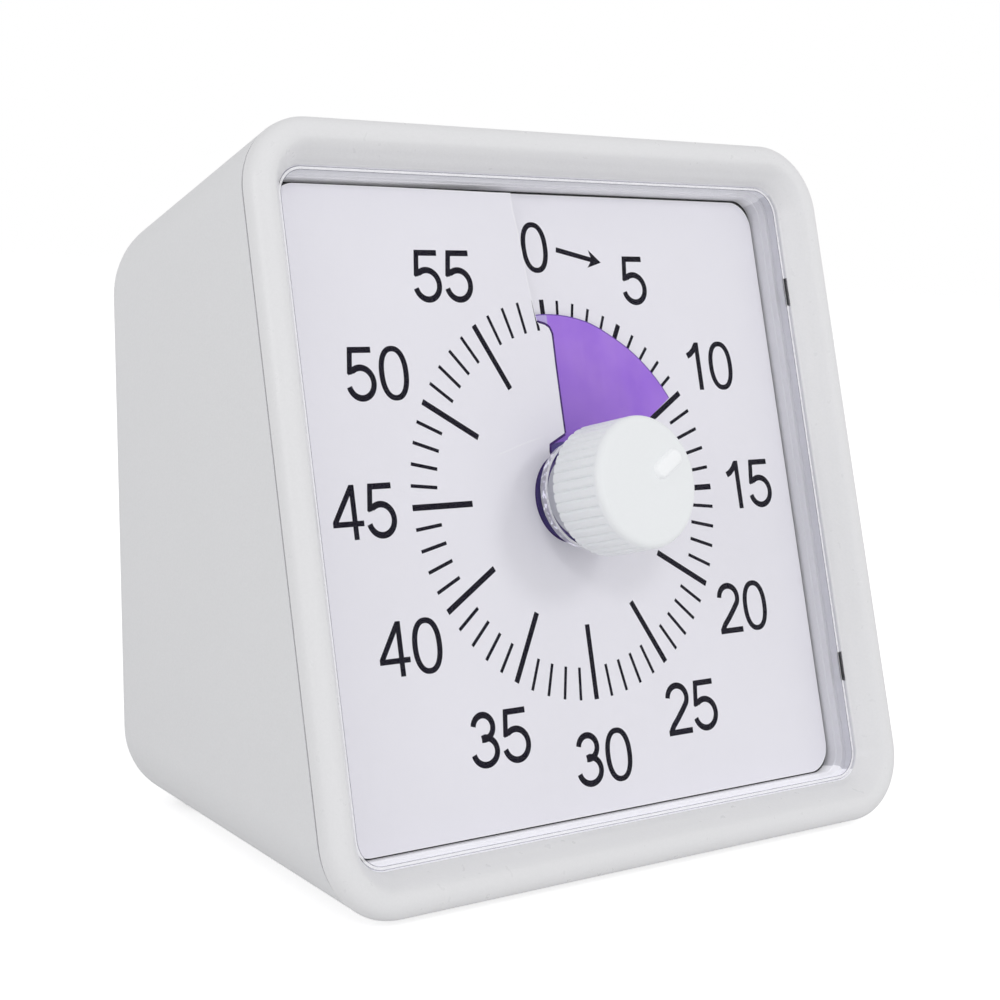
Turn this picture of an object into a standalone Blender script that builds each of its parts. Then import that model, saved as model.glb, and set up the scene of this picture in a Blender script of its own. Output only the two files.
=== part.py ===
"""Sixty-minute visual countdown timer: tilted square dial, wedge body, turning knob and film disc.

Lengths below are millimetres and are scaled to metres when a mesh is made.
FACE frame: u right, v up the dial, n out of the dial, origin at the dial centre.
BACK frame: p towards -X, q up the back panel, m outwards through the back panel.
"""
import math

import bmesh
import bpy
from mathutils import Matrix, Vector

MM = 0.001
SMOOTH_ANGLE = math.radians(35.0)

# overall body
TILT = math.radians(15.3)          # dial leans back
ORIGIN_Y = -13.2008                  # dial centre, after centring the body on the origin
ORIGIN_Z = 36.83
HALF_W = 40.0
HALF_H = 38.6
CORNER_R = 7.75
PART_N = 3.4                       # parting plane between bezel and rear housing
PART_GAP = 0.3
SIDE_TAPER = 0.172
BASE_Z = -36.33                    # underside, relative to the dial centre
TOP_SLOPE = math.radians(20.04)
TOP_Y = 6.91
TOP_Z = 38.13
BACK_Y = 40.4
BACK_LEAN = math.radians(2.9)
WALL = 2.0
BACK_WALL = 2.4
REAR_EDGE_R = 5.2

# dial
CARD_W = 34.4
CARD_H = 33.0
CARD_T = 0.06
CARD_R = 3.0
CARD_HOLE = 4.9
CARD_CURL = 0.75                   # lift of the free edge at the slit, near the card's rim
CARD_PULL = 0.3                    # how far that lift draws the rim in
CARD_START = -12.0                 # clockwise end of the lower sheet, degrees from up
DISC_R = 19.5
DISC_HOLE = 4.0
DISC_T = 0.05
DISC_SWEEP = 356.0
DIAL_LOW = -0.54                   # card height just clockwise of zero
DIAL_RISE = 0.62                   # rise of the spiral card and film in one turn
FILM_LIFT = 0.518                  # film above the card at rest
REST_TURN = 60.0                   # ten minutes set
HUB_R = 4.35

# clear lens
LENS_W = 35.25
LENS_H = 33.85
LENS_BACK = 1.65
LENS_FRONT = 2.8
LENS_HOLE = 5.65
SNAP_V = 21.7                      # snap tabs and windows, above and below the centre

# knob
KNOB_R = 6.9
KNOB_BACK = 4.8
KNOB_FRONT = 12.1
KNOB_FLUTES = 40
BAR_RISE = 0.55                    # pointer bar above the knob face
SPINDLE_R = 2.0

# battery bay, in the BACK frame
DOOR_P = 26.3
DOOR_Q = 8.8
DOOR_T = 1.5
TRAY_P = 28.2
TRAY_Q = 10.0
BAY_Z = -22.3                      # height of the battery axis, relative to the dial centre
CELL_M = -10.6
CELL_R = 7.1

ORIGIN = Vector((0.0, ORIGIN_Y, ORIGIN_Z))
AXIS_V = Vector((0.0, math.sin(TILT), math.cos(TILT)))
AXIS_N = Vector((0.0, -math.cos(TILT), math.sin(TILT)))

MATERIALS = {
    "housing_white": ((0.70, 0.70, 0.71), 0.0, 0.5),
    "bezel_white": ((0.76, 0.76, 0.77), 0.0, 0.42),
    "knob_white": ((0.80, 0.83, 0.83), 0.0, 0.45),
    "clear_plastic": ((0.92, 0.94, 0.95), 0.0, 0.05),
    "dial_paper": ((0.78, 0.77, 0.83), 0.0, 0.6),
    "purple_film": ((0.33, 0.16, 0.66), 0.0, 0.4),
    "hub_purple": ((0.22, 0.11, 0.45), 0.0, 0.4),
    "frame_plastic": ((0.55, 0.56, 0.58), 0.0, 0.55),
    "movement_black": ((0.05, 0.05, 0.055), 0.0, 0.5),
    "steel": ((0.56, 0.57, 0.58), 1.0, 0.3),
    "brass": ((0.72, 0.55, 0.25), 1.0, 0.35),
    "copper_wire": ((0.60, 0.28, 0.14), 1.0, 0.35),
    "board_green": ((0.06, 0.25, 0.12), 0.0, 0.45),
    "chip_black": ((0.02, 0.02, 0.02), 0.0, 0.35),
    "rubber_grey": ((0.20, 0.20, 0.21), 0.0, 0.85),
    "cell_wrap": ((0.10, 0.22, 0.42), 0.0, 0.3),
    "wire_red": ((0.60, 0.05, 0.04), 0.0, 0.45),
    "wire_black": ((0.03, 0.03, 0.03), 0.0, 0.45),
    "switch_grey": ((0.24, 0.25, 0.27), 0.0, 0.45),
    "gear_acetal": ((0.85, 0.84, 0.78), 0.0, 0.45),
}


def clear_scene():
    for obj in list(bpy.data.objects):
        bpy.data.objects.remove(obj, do_unlink=True)


def face_matrix(u=0.0, v=0.0):
    origin = ORIGIN + Vector((u, 0.0, 0.0)) + AXIS_V * v
    m = Matrix.Identity(4)
    m.col[0][:3] = (1.0, 0.0, 0.0)
    m.col[1][:3] = AXIS_V
    m.col[2][:3] = AXIS_N
    m.translation = origin * MM
    return m


def back_matrix(p=0.0, q=0.0, m_off=0.0):
    s, c = math.sin(BACK_LEAN), math.cos(BACK_LEAN)
    up = Vector((0.0, s, c))
    out = Vector((0.0, c, -s))
    foot = ORIGIN + Vector((0.0, BACK_Y + math.tan(BACK_LEAN) * BAY_Z, BAY_Z))
    m = Matrix.Identity(4)
    m.col[0][:3] = (-1.0, 0.0, 0.0)
    m.col[1][:3] = up
    m.col[2][:3] = out
    m.translation = (foot + Vector((-p, 0.0, 0.0)) + up * q + out * m_off) * MM
    return m


def material(slot):
    mat = bpy.data.materials.get(slot)
    if mat:
        return mat
    colour, metallic, rough = MATERIALS[slot]
    mat = bpy.data.materials.new(slot)
    mat.use_nodes = True
    node = mat.node_tree.nodes["Principled BSDF"]
    node.inputs["Base Color"].default_value = (*colour, 1.0)
    node.inputs["Metallic"].default_value = metallic
    node.inputs["Roughness"].default_value = rough
    mat.diffuse_color = (*colour, 1.0)
    return mat


def finish(bm, name, slot, matrix):
    bmesh.ops.remove_doubles(bm, verts=bm.verts, dist=1e-5)
    bmesh.ops.recalc_face_normals(bm, faces=bm.faces)
    mesh = bpy.data.meshes.new(name)
    bm.transform(Matrix.Scale(MM, 4))
    bm.to_mesh(mesh)
    bm.free()
    obj = bpy.data.objects.new(name, mesh)
    obj.matrix_world = matrix
    bpy.context.scene.collection.objects.link(obj)
    mesh.materials.append(material(slot))
    return shade(obj)


def shade(obj):
    obj.data.shade_smooth()
    obj.data.set_sharp_from_angle(angle=SMOOTH_ANGLE)
    return obj


def combine(obj, cutter, operation):
    """Apply one exact Boolean and drop the cutter."""
    bpy.context.view_layer.update()
    mod = obj.modifiers.new("shape", "BOOLEAN")
    mod.operation = operation
    mod.solver = "EXACT"
    mod.object = cutter
    graph = bpy.context.evaluated_depsgraph_get()
    mesh = bpy.data.meshes.new_from_object(obj.evaluated_get(graph))
    obj.modifiers.clear()
    old = obj.data
    mesh.materials.clear()
    mesh.materials.append(old.materials[0])
    obj.data = mesh
    bpy.data.objects.remove(cutter, do_unlink=True)
    bpy.data.meshes.remove(old)
    return shade(obj)


# ---------------------------------------------------------------- shape helpers
def rounded_rect(hw, hh, r, k=5):
    pts = []
    centres = ((1, 1, 0), (-1, 1, 90), (-1, -1, 180), (1, -1, 270))
    for sx, sy, start in centres:
        for i in range(k + 1):
            a = math.radians(start + 90.0 * i / k)
            pts.append((sx * (hw - r) + r * math.cos(a), sy * (hh - r) + r * math.sin(a)))
    return pts


def loft(rings, closed=False):
    """Rings of equal length; closed joins last to first, otherwise the ends are capped."""
    bm = bmesh.new()
    rows = [[bm.verts.new(p) for p in ring] for ring in rings]
    count = len(rows[0])
    pairs = list(zip(rows, rows[1:]))
    if closed:
        pairs.append((rows[-1], rows[0]))
    for a, b in pairs:
        for i in range(count):
            j = (i + 1) % count
            bm.faces.new((a[i], a[j], b[j], b[i]))
    if not closed:
        bm.faces.new(rows[0])
        bm.faces.new(rows[-1])
    return bm


def plate(hw, hh, r, n0, n1, k=4, centre=(0.0, 0.0)):
    ring = rounded_rect(hw, hh, r, k)
    cu, cv = centre
    return loft([[(x + cu, y + cv, n) for x, y in ring] for n in (n0, n1)])


def turned(profile, seg=24, closed=False, centre=(0.0, 0.0)):
    """Turn (radius, n) points about the n axis."""
    cu, cv = centre
    rings = []
    for r, n in profile:
        ring = []
        for i in range(seg):
            a = 2 * math.pi * i / seg
            ring.append((cu + r * math.cos(a), cv + r * math.sin(a), n))
        rings.append(ring)
    return loft(rings, closed)


def tube(r0, r1, n0, n1, seg=20, centre=(0.0, 0.0)):
    return turned([(r0, n0), (r1, n0), (r1, n1), (r0, n1)], seg, True, centre)


def rod(r, n0, n1, seg=16, centre=(0.0, 0.0)):
    return turned([(r, n0), (r, n1)], seg, False, centre)


def block(x0, x1, y0, y1, z0, z1):
    ring = [(x0, y0), (x1, y0), (x1, y1), (x0, y1)]
    return loft([[(x, y, z) for x, y in ring] for z in (z0, z1)])


def gear(teeth, r_root, r_tip, bore, n0, n1):
    outer = []
    for i in range(teeth):
        for frac, r in ((0.0, r_root), (0.4, r_root), (0.55, r_tip), (0.85, r_tip)):
            a = 2 * math.pi * (i + frac) / teeth
            outer.append((r * math.cos(a), r * math.sin(a)))
    count = len(outer)
    inner = []
    for i in range(count):
        a = math.atan2(outer[i][1], outer[i][0])
        inner.append((bore * math.cos(a), bore * math.sin(a)))
    rings = [[(x, y, n0) for x, y in inner], [(x, y, n0) for x, y in outer]]
    rings += [[(x, y, n1) for x, y in outer], [(x, y, n1) for x, y in inner]]
    return loft(rings, True)


def merge(parts):
    """Join separate closed shapes into one cutter mesh."""
    total = bmesh.new()
    for bm in parts:
        mesh = bpy.data.meshes.new("tmp")
        bm.to_mesh(mesh)
        bm.free()
        total.from_mesh(mesh)
        bpy.data.meshes.remove(mesh)
    return total


def cut(obj, parts, matrix, operation="DIFFERENCE"):
    cutter = finish(merge(parts), "cutter", "steel", matrix)
    return combine(obj, cutter, operation)


def sweep(points, radius, seg=6):
    """Round wire along a list of points, capped at both ends."""
    pts = [Vector(p) for p in points]
    tangents = []
    for i in range(len(pts)):
        a = pts[max(i - 1, 0)]
        b = pts[min(i + 1, len(pts) - 1)]
        tangents.append((b - a).normalized())
    side = tangents[0].orthogonal().normalized()
    rings = []
    for p, t in zip(pts, tangents):
        side = (side - t * side.dot(t)).normalized()
        other = t.cross(side)
        ring = []
        for k in range(seg):
            a = 2 * math.pi * k / seg
            ring.append(p + side * radius * math.cos(a) + other * radius * math.sin(a))
        rings.append(ring)
    return loft(rings)


def smooth_path(points, steps=3):
    """Catmull-Rom points through the given corners."""
    pts = [Vector(p) for p in points]
    pts = [pts[0]] + pts + [pts[-1]]
    out = []
    for a, b, c, d in zip(pts, pts[1:], pts[2:], pts[3:]):
        for i in range(steps):
            t = i / steps
            out.append(0.5 * (2 * b + (c - a) * t + (2 * a - 5 * b + 4 * c - d) * t ** 2
                              + (3 * b - a - 3 * c + d) * t ** 3))
    out.append(pts[-1])
    return out


# ---------------------------------------------------------------- housing
def meet(planes):
    rows = Matrix([p[0] for p in planes])
    return rows.inverted() @ Vector([p[1] for p in planes])


def wedge(inset, back_inset, front_n, edge_r, rear_r):
    """Wedge solid in world directions about the dial centre."""
    slant = math.sqrt(1 + SIDE_TAPER ** 2)
    side_d = HALF_W - SIDE_TAPER * PART_N - inset * slant
    top_d = TOP_Y * math.sin(TOP_SLOPE) + TOP_Z * math.cos(TOP_SLOPE) - inset
    back_n = Vector((0.0, math.cos(BACK_LEAN), -math.sin(BACK_LEAN)))
    ends = ((AXIS_N, front_n), (back_n, BACK_Y * math.cos(BACK_LEAN) - back_inset))
    levels = ((Vector((0, 0, 1)), BASE_Z + inset),
              (Vector((0, math.sin(TOP_SLOPE), math.cos(TOP_SLOPE))), top_d))
    bm = bmesh.new()
    grid = {}
    for sx in (-1, 1):
        side = (Vector((sx, 0, 0)) - AXIS_N * SIDE_TAPER, side_d)
        for iz, level in enumerate(levels):
            for ie, end in enumerate(ends):
                grid[sx, iz, ie] = bm.verts.new(meet((side, level, end)))
    quads = (((-1, 0, 0), (1, 0, 0), (1, 1, 0), (-1, 1, 0)),
             ((-1, 0, 1), (1, 0, 1), (1, 1, 1), (-1, 1, 1)),
             ((-1, 0, 0), (1, 0, 0), (1, 0, 1), (-1, 0, 1)),
             ((-1, 1, 0), (1, 1, 0), (1, 1, 1), (-1, 1, 1)),
             ((-1, 0, 0), (-1, 1, 0), (-1, 1, 1), (-1, 0, 1)),
             ((1, 0, 0), (1, 1, 0), (1, 1, 1), (1, 0, 1)))
    for quad in quads:
        bm.faces.new([grid[key] for key in quad])
    bmesh.ops.recalc_face_normals(bm, faces=bm.faces)
    long_edges = []
    for edge in bm.edges:
        a, b = edge.verts
        on_front = [abs(v.co.dot(AXIS_N) - front_n) < 1e-4 for v in (a, b)]
        if on_front[0] != on_front[1]:
            long_edges.append(edge)
    bmesh.ops.bevel(bm, geom=long_edges, offset=edge_r, offset_type="OFFSET", segments=5,
                    profile=0.5, affect="EDGES", clamp_overlap=False)
    back_d = ends[1][1]
    rim = [e for e in bm.edges if all(abs(v.co.dot(back_n) - back_d) < 1e-4 for v in e.verts)]
    bmesh.ops.bevel(bm, geom=rim, offset=rear_r, offset_type="OFFSET", segments=3,
                    profile=0.5, affect="EDGES", clamp_overlap=False)
    return bm


def world_matrix():
    return Matrix.Translation(ORIGIN * MM)


def foot_spots():
    return ((-27.0, -5.0), (27.0, -5.0), (-23.0, 30.0), (23.0, 30.0))


def screw_spots():
    return ((-24.2, 13.6), (24.2, 13.6), (-23.4, 38.6), (23.4, 38.6))


def rear_housing():
    front = PART_N - PART_GAP / 2
    body = finish(wedge(0.0, 0.0, front, CORNER_R, REAR_EDGE_R), "rear_housing",
                  "housing_white", world_matrix())
    inner = wedge(WALL, BACK_WALL, front + 3.0, CORNER_R - WALL, REAR_EDGE_R - 2.2)
    cut(body, [inner], world_matrix())
    # battery door seat and the opening behind it
    cut(body, [plate(DOOR_P + 0.3, DOOR_Q + 0.3, 1.8, -1.75, 2.0)], back_matrix())
    cut(body, [plate(25.6, 8.1, 1.2, -6.0, 0.0)], back_matrix())
    # switch slot with a shallow dished surround
    cut(body, [plate(4.7, 1.8, 0.5, -6.0, 2.0, centre=(0.0, 22.5))], back_matrix())
    cut(body, [plate(7.0, 3.2, 3.0, -0.5, 2.0, centre=(0.0, 22.5))], back_matrix())
    # sound slots and screw holes
    slots = [plate(0.6, 3.6, 0.55, -6.0, 2.0, 3, (3.2 * i, 34.6)) for i in range(-2, 3)]
    cut(body, slots, back_matrix())
    holes = [rod(1.4, -6.0, 2.0, 12, s) for s in screw_spots()]
    cut(body, holes, back_matrix())
    cut(body, [rod(2.95, -1.0, 2.0, 18, s) for s in screw_spots()], back_matrix())
    pockets = [rod(4.3, BASE_Z - 1.0, BASE_Z + 0.9, 20, s) for s in foot_spots()]
    cut(body, pockets, world_matrix())
    return body


def bezel_profile():
    """Inset from the outer outline, height n; closed loop."""
    loop = [(0.0, PART_N + PART_GAP / 2), (0.0, 4.05)]
    for deg in (22.5, 45.0, 67.5):
        a = math.radians(deg)
        loop.append((1.7 - 1.7 * math.cos(a), 4.05 + 1.7 * math.sin(a)))
    loop += [(1.7, 5.75), (2.4, 5.6), (3.0, 5.05), (3.5, 4.4), (4.0, 3.7), (4.35, 3.15), (4.45, 2.95)]
    loop += [(4.45, 1.45), (5.1, 1.45), (5.3, -0.8), (3.65, -0.8), (3.65, PART_N + PART_GAP / 2)]
    return loop


def front_bezel():
    rings = []
    for inset, n in bezel_profile():
        outline = rounded_rect(HALF_W - inset, HALF_H - inset, CORNER_R - inset, 6)
        rings.append([(x, y, n) for x, y in outline])
    body = finish(loft(rings, True), "front_bezel", "bezel_white", face_matrix())
    windows = []
    for su in (-1, 1):
        for sv in (-1, 1):
            a, b = sorted((su * (LENS_W - 0.1), su * 37.2))
            windows.append(block(a, b, sv * SNAP_V - 1.75, sv * SNAP_V + 1.75, 1.75, 3.0))
    cut(body, windows, face_matrix())
    return body


def clear_lens():
    sheet = plate(LENS_W, LENS_H, 3.0, LENS_BACK, LENS_FRONT, 6)
    body = finish(sheet, "clear_lens", "clear_plastic", face_matrix())
    tabs = []
    for su in (-1, 1):
        for sv in (-1, 1):
            a, b = sorted((su * (LENS_W - 0.5), su * (LENS_W + 1.0)))
            tabs.append(block(a, b, sv * SNAP_V - 1.4, sv * SNAP_V + 1.4, 2.05, 2.7))
    cut(body, tabs, face_matrix(), "UNION")
    hole = turned([(LENS_HOLE, 1.0), (LENS_HOLE, 2.6), (LENS_HOLE + 0.4, 3.0), (LENS_HOLE + 0.4, 3.4)], 48)
    cut(body, [hole], face_matrix())
    return body


# ---------------------------------------------------------------- dial
def outline_radius(angle):
    """Distance from the centre to the rounded card edge, angle clockwise from up."""
    du, dv = abs(math.sin(angle)), abs(math.cos(angle))
    lo, hi = 20.0, 50.0
    for _ in range(40):
        mid = (lo + hi) / 2
        x, y = du * mid, dv * mid
        corner = math.hypot(max(x - CARD_W + CARD_R, 0.0), max(y - CARD_H + CARD_R, 0.0))
        inside = corner <= CARD_R and x <= CARD_W and y <= CARD_H
        if inside:
            lo = mid
        else:
            hi = mid
    return lo


def rim_radius(deg):
    """Card outline, drawn in a little where the free edge curls up."""
    t = min(max((deg - 325.0) / 28.0, 0.0), 1.0)
    return outline_radius(math.radians(deg)) - CARD_PULL * t * t * (3 - 2 * t)


def card_height(deg, r):
    """Spiral height of the card front; the free edge past 330 degrees curls up outside the film."""
    base = DIAL_LOW + DIAL_RISE * deg / 360.0
    curl = min(max((deg - 325.0) / 30.0, 0.0), 1.0) * min(max((r - 21.0) / 10.0, 0.0), 1.0)
    return base + CARD_CURL * curl * curl * (3 - 2 * curl)


def spiral_body(columns, rows, radius_of, height_of, thick):
    """Thin closed sheet on a column (angle) by row (radius) grid."""
    bm = bmesh.new()
    layers = []
    for drop in (0.0, thick):
        grid = []
        for ci in range(columns):
            line = []
            for ri in range(rows):
                deg, r = radius_of(ci, ri)
                a = math.radians(deg)
                line.append(bm.verts.new((r * math.sin(a), r * math.cos(a),
                                          height_of(deg, r) - drop)))
            grid.append(line)
        layers.append(grid)
    top, low = layers
    for g in layers:
        for c in range(columns - 1):
            for r in range(rows - 1):
                bm.faces.new((g[c][r], g[c + 1][r], g[c + 1][r + 1], g[c][r + 1]))
    for c in range(columns - 1):
        for r in (0, rows - 1):
            bm.faces.new((top[c][r], top[c + 1][r], low[c + 1][r], low[c][r]))
    for r in range(rows - 1):
        for c in (0, columns - 1):
            bm.faces.new((top[c][r], top[c][r + 1], low[c][r + 1], low[c][r]))
    return bm


# radius and end angle of the card's free edge, from the notch at the hole out to the rim
CARD_EDGE = ((CARD_HOLE, 335.5), (6.1, 340.5), (6.8, 362.5), (17.9, 361.0), (19.0, 355.5),
             (25.0, 354.3), (None, 353.6))


def dial_card():
    angles = [CARD_START + 6.0 * i for i in range(63)]

    def place(ci, ri):
        r, end = CARD_EDGE[ri]
        deg = min(angles[ci], end) if ci < len(angles) else end
        return deg, rim_radius(deg) if r is None else r

    bm = spiral_body(len(angles) + 1, len(CARD_EDGE), place, card_height, CARD_T)
    return finish(bm, "dial_card", "dial_paper", face_matrix())


def film_height(deg, r):
    return DIAL_LOW + FILM_LIFT + DIAL_RISE * deg / 360.0


def time_disc():
    """Film sector from the leading edge (rest turn) back round under the card."""
    radii = (DISC_HOLE, DISC_R)

    def place(ci, ri):
        return REST_TURN - DISC_SWEEP * ci / 59.0, radii[ri]

    bm = spiral_body(60, 2, place, film_height, DISC_T)
    return finish(bm, "time_disc", "purple_film", face_matrix())


def disc_hub():
    bore = SPINDLE_R + 0.3
    profile = [(bore, 1.2), (HUB_R - 0.25, 1.2), (HUB_R, 1.0), (HUB_R, 0.35), (3.4, 0.35),
               (3.4, -2.3), (bore, -2.3)]
    return finish(turned(profile, 28, True), "disc_hub", "hub_purple", face_matrix())


def knob():
    """Fluted cap, stem and raised pointer bar; the bar points at the set time."""
    count = KNOB_FLUTES * 2
    outline = ((4.5, 1.5, 0.0), (4.5, 4.4, 0.0), (4.9, KNOB_BACK, 0.0), (6.6, KNOB_BACK, 0.0),
               (KNOB_R, KNOB_BACK + 0.3, 1.0), (KNOB_R, 10.6, 1.0), (KNOB_R, 11.0, 0.0),
               (KNOB_R - 0.2, 11.75, 0.0), (KNOB_R - 0.7, KNOB_FRONT, 0.0), (3.0, KNOB_FRONT, 0.0))
    rings = []
    for r, n, deep in outline:
        ring = []
        for i in range(count):
            a = 2 * math.pi * i / count
            dip = 0.16 * deep if i % 2 == 0 else 0.0
            ring.append(((r - dip) * math.cos(a), (r - dip) * math.sin(a), n))
        rings.append(ring)
    body = finish(loft(rings), "knob", "knob_white", face_matrix())
    cut(body, [rod(SPINDLE_R + 0.3, 0.5, 8.9, 24)], face_matrix())
    bar = plate(0.85, 2.0, 0.84, KNOB_FRONT - 0.3, KNOB_FRONT + BAR_RISE, 6, (0.0, 3.3))
    turn = face_matrix() @ Matrix.Rotation(-math.radians(REST_TURN), 4, "Z")
    cut(body, [bar], turn, "UNION")
    return body


def dial_plate():
    body = finish(plate(36.2, 34.2, 4.0, -2.6, -1.1), "dial_plate", "frame_plastic",
                  face_matrix())
    # posts run forward from the back panel to the plate
    for p, q in screw_spots():
        up = math.cos(BACK_LEAN)
        height = BAY_Z + q * up
        run = BACK_Y - math.tan(TILT) * height - 1.3
        cut(body, [rod(2.6, -run, -2.75, 14, (p, q))], back_matrix(), "UNION")
    cut(body, [rod(1.35, -13.0, -2.0, 10, s) for s in screw_spots()], back_matrix())
    trim = block(-40.0, 40.0, -40.0, 40.0, -1.1, 20.0)
    cut(body, [trim], face_matrix())
    cut(body, [rod(3.75, -4.0, 0.0, 32)], face_matrix())
    cut(body, [rod(1.2, -4.0, 0.0, 10, s) for s in case_spots()], face_matrix())
    return body


# ---------------------------------------------------------------- movement
def case_spots():
    return ((-17.6, -18.2), (17.6, -18.2), (-17.6, 18.2), (17.6, 18.2))


def movement():
    front = finish(plate(19.5, 20.0, 2.0, -4.4, -2.9), "movement_case_front", "movement_black",
                   face_matrix())
    cut(front, [rod(3.6, -6.0, 0.0, 28)], face_matrix())
    cut(front, [rod(1.2, -6.0, 0.0, 10, s) for s in case_spots()], face_matrix())
    rear = finish(plate(15.6, 16.4, 2.0, -18.6, -4.7), "movement_case_rear", "movement_black",
                  face_matrix())
    cut(rear, [plate(14.3, 15.1, 1.2, -17.3, -3.0)], face_matrix())
    finish(tube(2.3, 3.3, -6.0, -2.6, 28), "spindle_bush", "brass", face_matrix())
    spindle = [(1.6, 8.6), (SPINDLE_R, 8.2), (SPINDLE_R, -11.6), (1.7, -11.6), (1.7, -12.4),
               (SPINDLE_R, -12.4), (SPINDLE_R, -13.6), (1.7, -13.9)]
    finish(turned(spindle, 24), "spindle", "steel", face_matrix())
    clip = tube(1.95, 3.3, -12.25, -11.75, 24)
    finish(clip, "spindle_clip", "steel", face_matrix())
    finish(gear(26, 7.7, 8.4, 2.3, -8.3, -7.2), "spindle_wheel", "gear_acetal", face_matrix())
    wavy = [(2.3, -6.9), (4.8, -6.75), (4.8, -6.45), (2.3, -6.6)]
    finish(turned(wavy, 20, True), "friction_washer", "steel", face_matrix())
    finish(alarm_cam_shape(), "alarm_cam", "gear_acetal", face_matrix())
    finish(block(4.95, 5.25, -6.5, 5.0, -11.0, -9.0), "contact_leaf", "brass", face_matrix())
    for i, spot in enumerate(case_spots()):
        screw = turned([(0.9, -1.5), (0.9, -4.7), (1.9, -4.7), (1.9, -5.4), (1.2, -5.8)], 12)
        finish(screw, "case_screw_%d" % (i + 1), "steel", face_matrix(*spot))


def alarm_cam_shape():
    """Disc with one drop notch, bored for the spindle."""
    outer, inner = [], []
    for i in range(30):
        a = 2 * math.pi * i / 30
        r = 3.7 if 12 <= i < 16 else 4.5
        outer.append((r * math.cos(a), r * math.sin(a)))
        inner.append((2.3 * math.cos(a), 2.3 * math.sin(a)))
    rings = [[(x, y, -10.6) for x, y in inner], [(x, y, -10.6) for x, y in outer]]
    rings += [[(x, y, -9.3) for x, y in outer], [(x, y, -9.3) for x, y in inner]]
    return loft(rings, True)


def gear_train():
    idler_at = (-7.6, -7.95)
    big = gear(16, 4.6, 5.3, 0.7, -10.6, -9.6)
    body = finish(big, "idler_wheel", "gear_acetal", face_matrix(*idler_at))
    pinion = gear(7, 1.6, 2.15, 0.7, -9.8, -7.2)
    cut(body, [pinion], face_matrix(*idler_at), "UNION")
    finish(rod(0.4, -14.5, -5.2, 12), "idler_arbor", "steel", face_matrix(*idler_at))
    rotor_at = (-1.0, -10.3)
    shape = [(0.6, -15.0), (2.4, -14.9), (2.4, -11.9), (1.0, -11.8), (1.0, -9.3), (0.6, -9.2)]
    finish(turned(shape, 20), "rotor", "steel", face_matrix(*rotor_at))
    stator = finish(plate(9.3, 3.6, 1.0, -13.7, -12.9, 4, (4.4, -10.6)), "stator", "steel",
                    face_matrix())
    cut(stator, [rod(2.8, -16.0, -10.0, 28, rotor_at)], face_matrix())
    along = face_matrix(0.0, 10.6) @ Matrix.Translation((0, 0, -13.2 * MM))
    along = along @ Matrix.Rotation(math.radians(90), 4, "Y")
    coil = [(1.3, -7.0), (3.6, -7.0), (3.6, -6.4), (3.1, -6.2), (3.1, 6.2), (3.6, 6.4),
            (3.6, 7.0), (1.3, 7.0)]
    finish(turned(coil, 24, True), "coil", "copper_wire", along)
    finish(rod(1.0, -9.6, 9.6, 16), "coil_core", "steel", along)


def electronics():
    board = finish(plate(19.6, 13.5, 1.0, -22.4, -21.0, 3, (0.0, 16.5)), "circuit_board",
                   "board_green", face_matrix())
    cut(board, [rod(1.3, -25.0, -20.0, 16, (s * 17.2, 27.6)) for s in (-1, 1)], face_matrix())
    dome = [(3.6, -22.7), (3.4, -23.2), (2.6, -23.7), (1.4, -23.95), (0.5, -24.0)]
    finish(turned(dome, 24), "timer_chip", "chip_black", face_matrix(10.0, 12.0))
    can = plate(3.6, 1.5, 1.45, -26.2, -22.7, 5, (10.0, 21.0))
    finish(can, "crystal_can", "steel", face_matrix())
    finish(rod(2.0, -27.5, -22.7, 20), "capacitor", "chip_black", face_matrix(16.0, 8.5))
    ring = [(1.4, -27.0), (8.6, -27.0), (9.0, -26.6), (9.0, -23.2), (8.4, -22.8), (7.6, -22.8),
            (7.6, -25.8), (1.4, -25.8)]
    finish(turned(ring, 24, True), "buzzer_shell", "movement_black", face_matrix(-7.0, 17.0))
    finish(rod(7.2, -24.6, -24.2, 24), "buzzer_disc", "brass", face_matrix(-7.0, 17.0))


# ---------------------------------------------------------------- back panel pieces
def battery_bay():
    tray = finish(plate(TRAY_P, TRAY_Q, 1.5, -19.6, -3.2, 4), "battery_tray", "frame_plastic",
                  back_matrix())
    cut(tray, [plate(TRAY_P - 1.2, TRAY_Q - 1.6, 1.2, -18.2, 0.0, 4)], back_matrix())
    along = back_matrix(0.0, 0.0, CELL_M) @ Matrix.Rotation(math.radians(90), 4, "Y")
    cell = [(5.4, -24.6), (6.6, -24.6), (CELL_R, -24.1), (CELL_R, 23.6), (6.5, 24.1), (2.75, 24.1),
            (2.75, 25.2), (2.4, 25.5)]
    finish(turned(cell, 24), "battery_cell", "cell_wrap", along)
    finish(plate(4.5, 5.5, 0.8, 25.9, 26.3, 3), "plus_contact", "steel", along)
    finish(plate(4.5, 5.5, 0.8, -26.7, -26.4, 3), "minus_contact", "steel", along)
    finish(spring_shape(), "battery_spring", "steel", along)
    door()


def spring_shape():
    """Conical coil between the minus plate and the cell, with a closed end."""
    pts = []
    turns = 2.2
    for i in range(31):
        t = i / 30.0
        a = 2 * math.pi * turns * t
        r = 4.0 - 1.6 * t
        pts.append((r * math.cos(a), r * math.sin(a), -26.05 + 1.1 * t))
    return sweep(pts, 0.16, 5)


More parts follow.
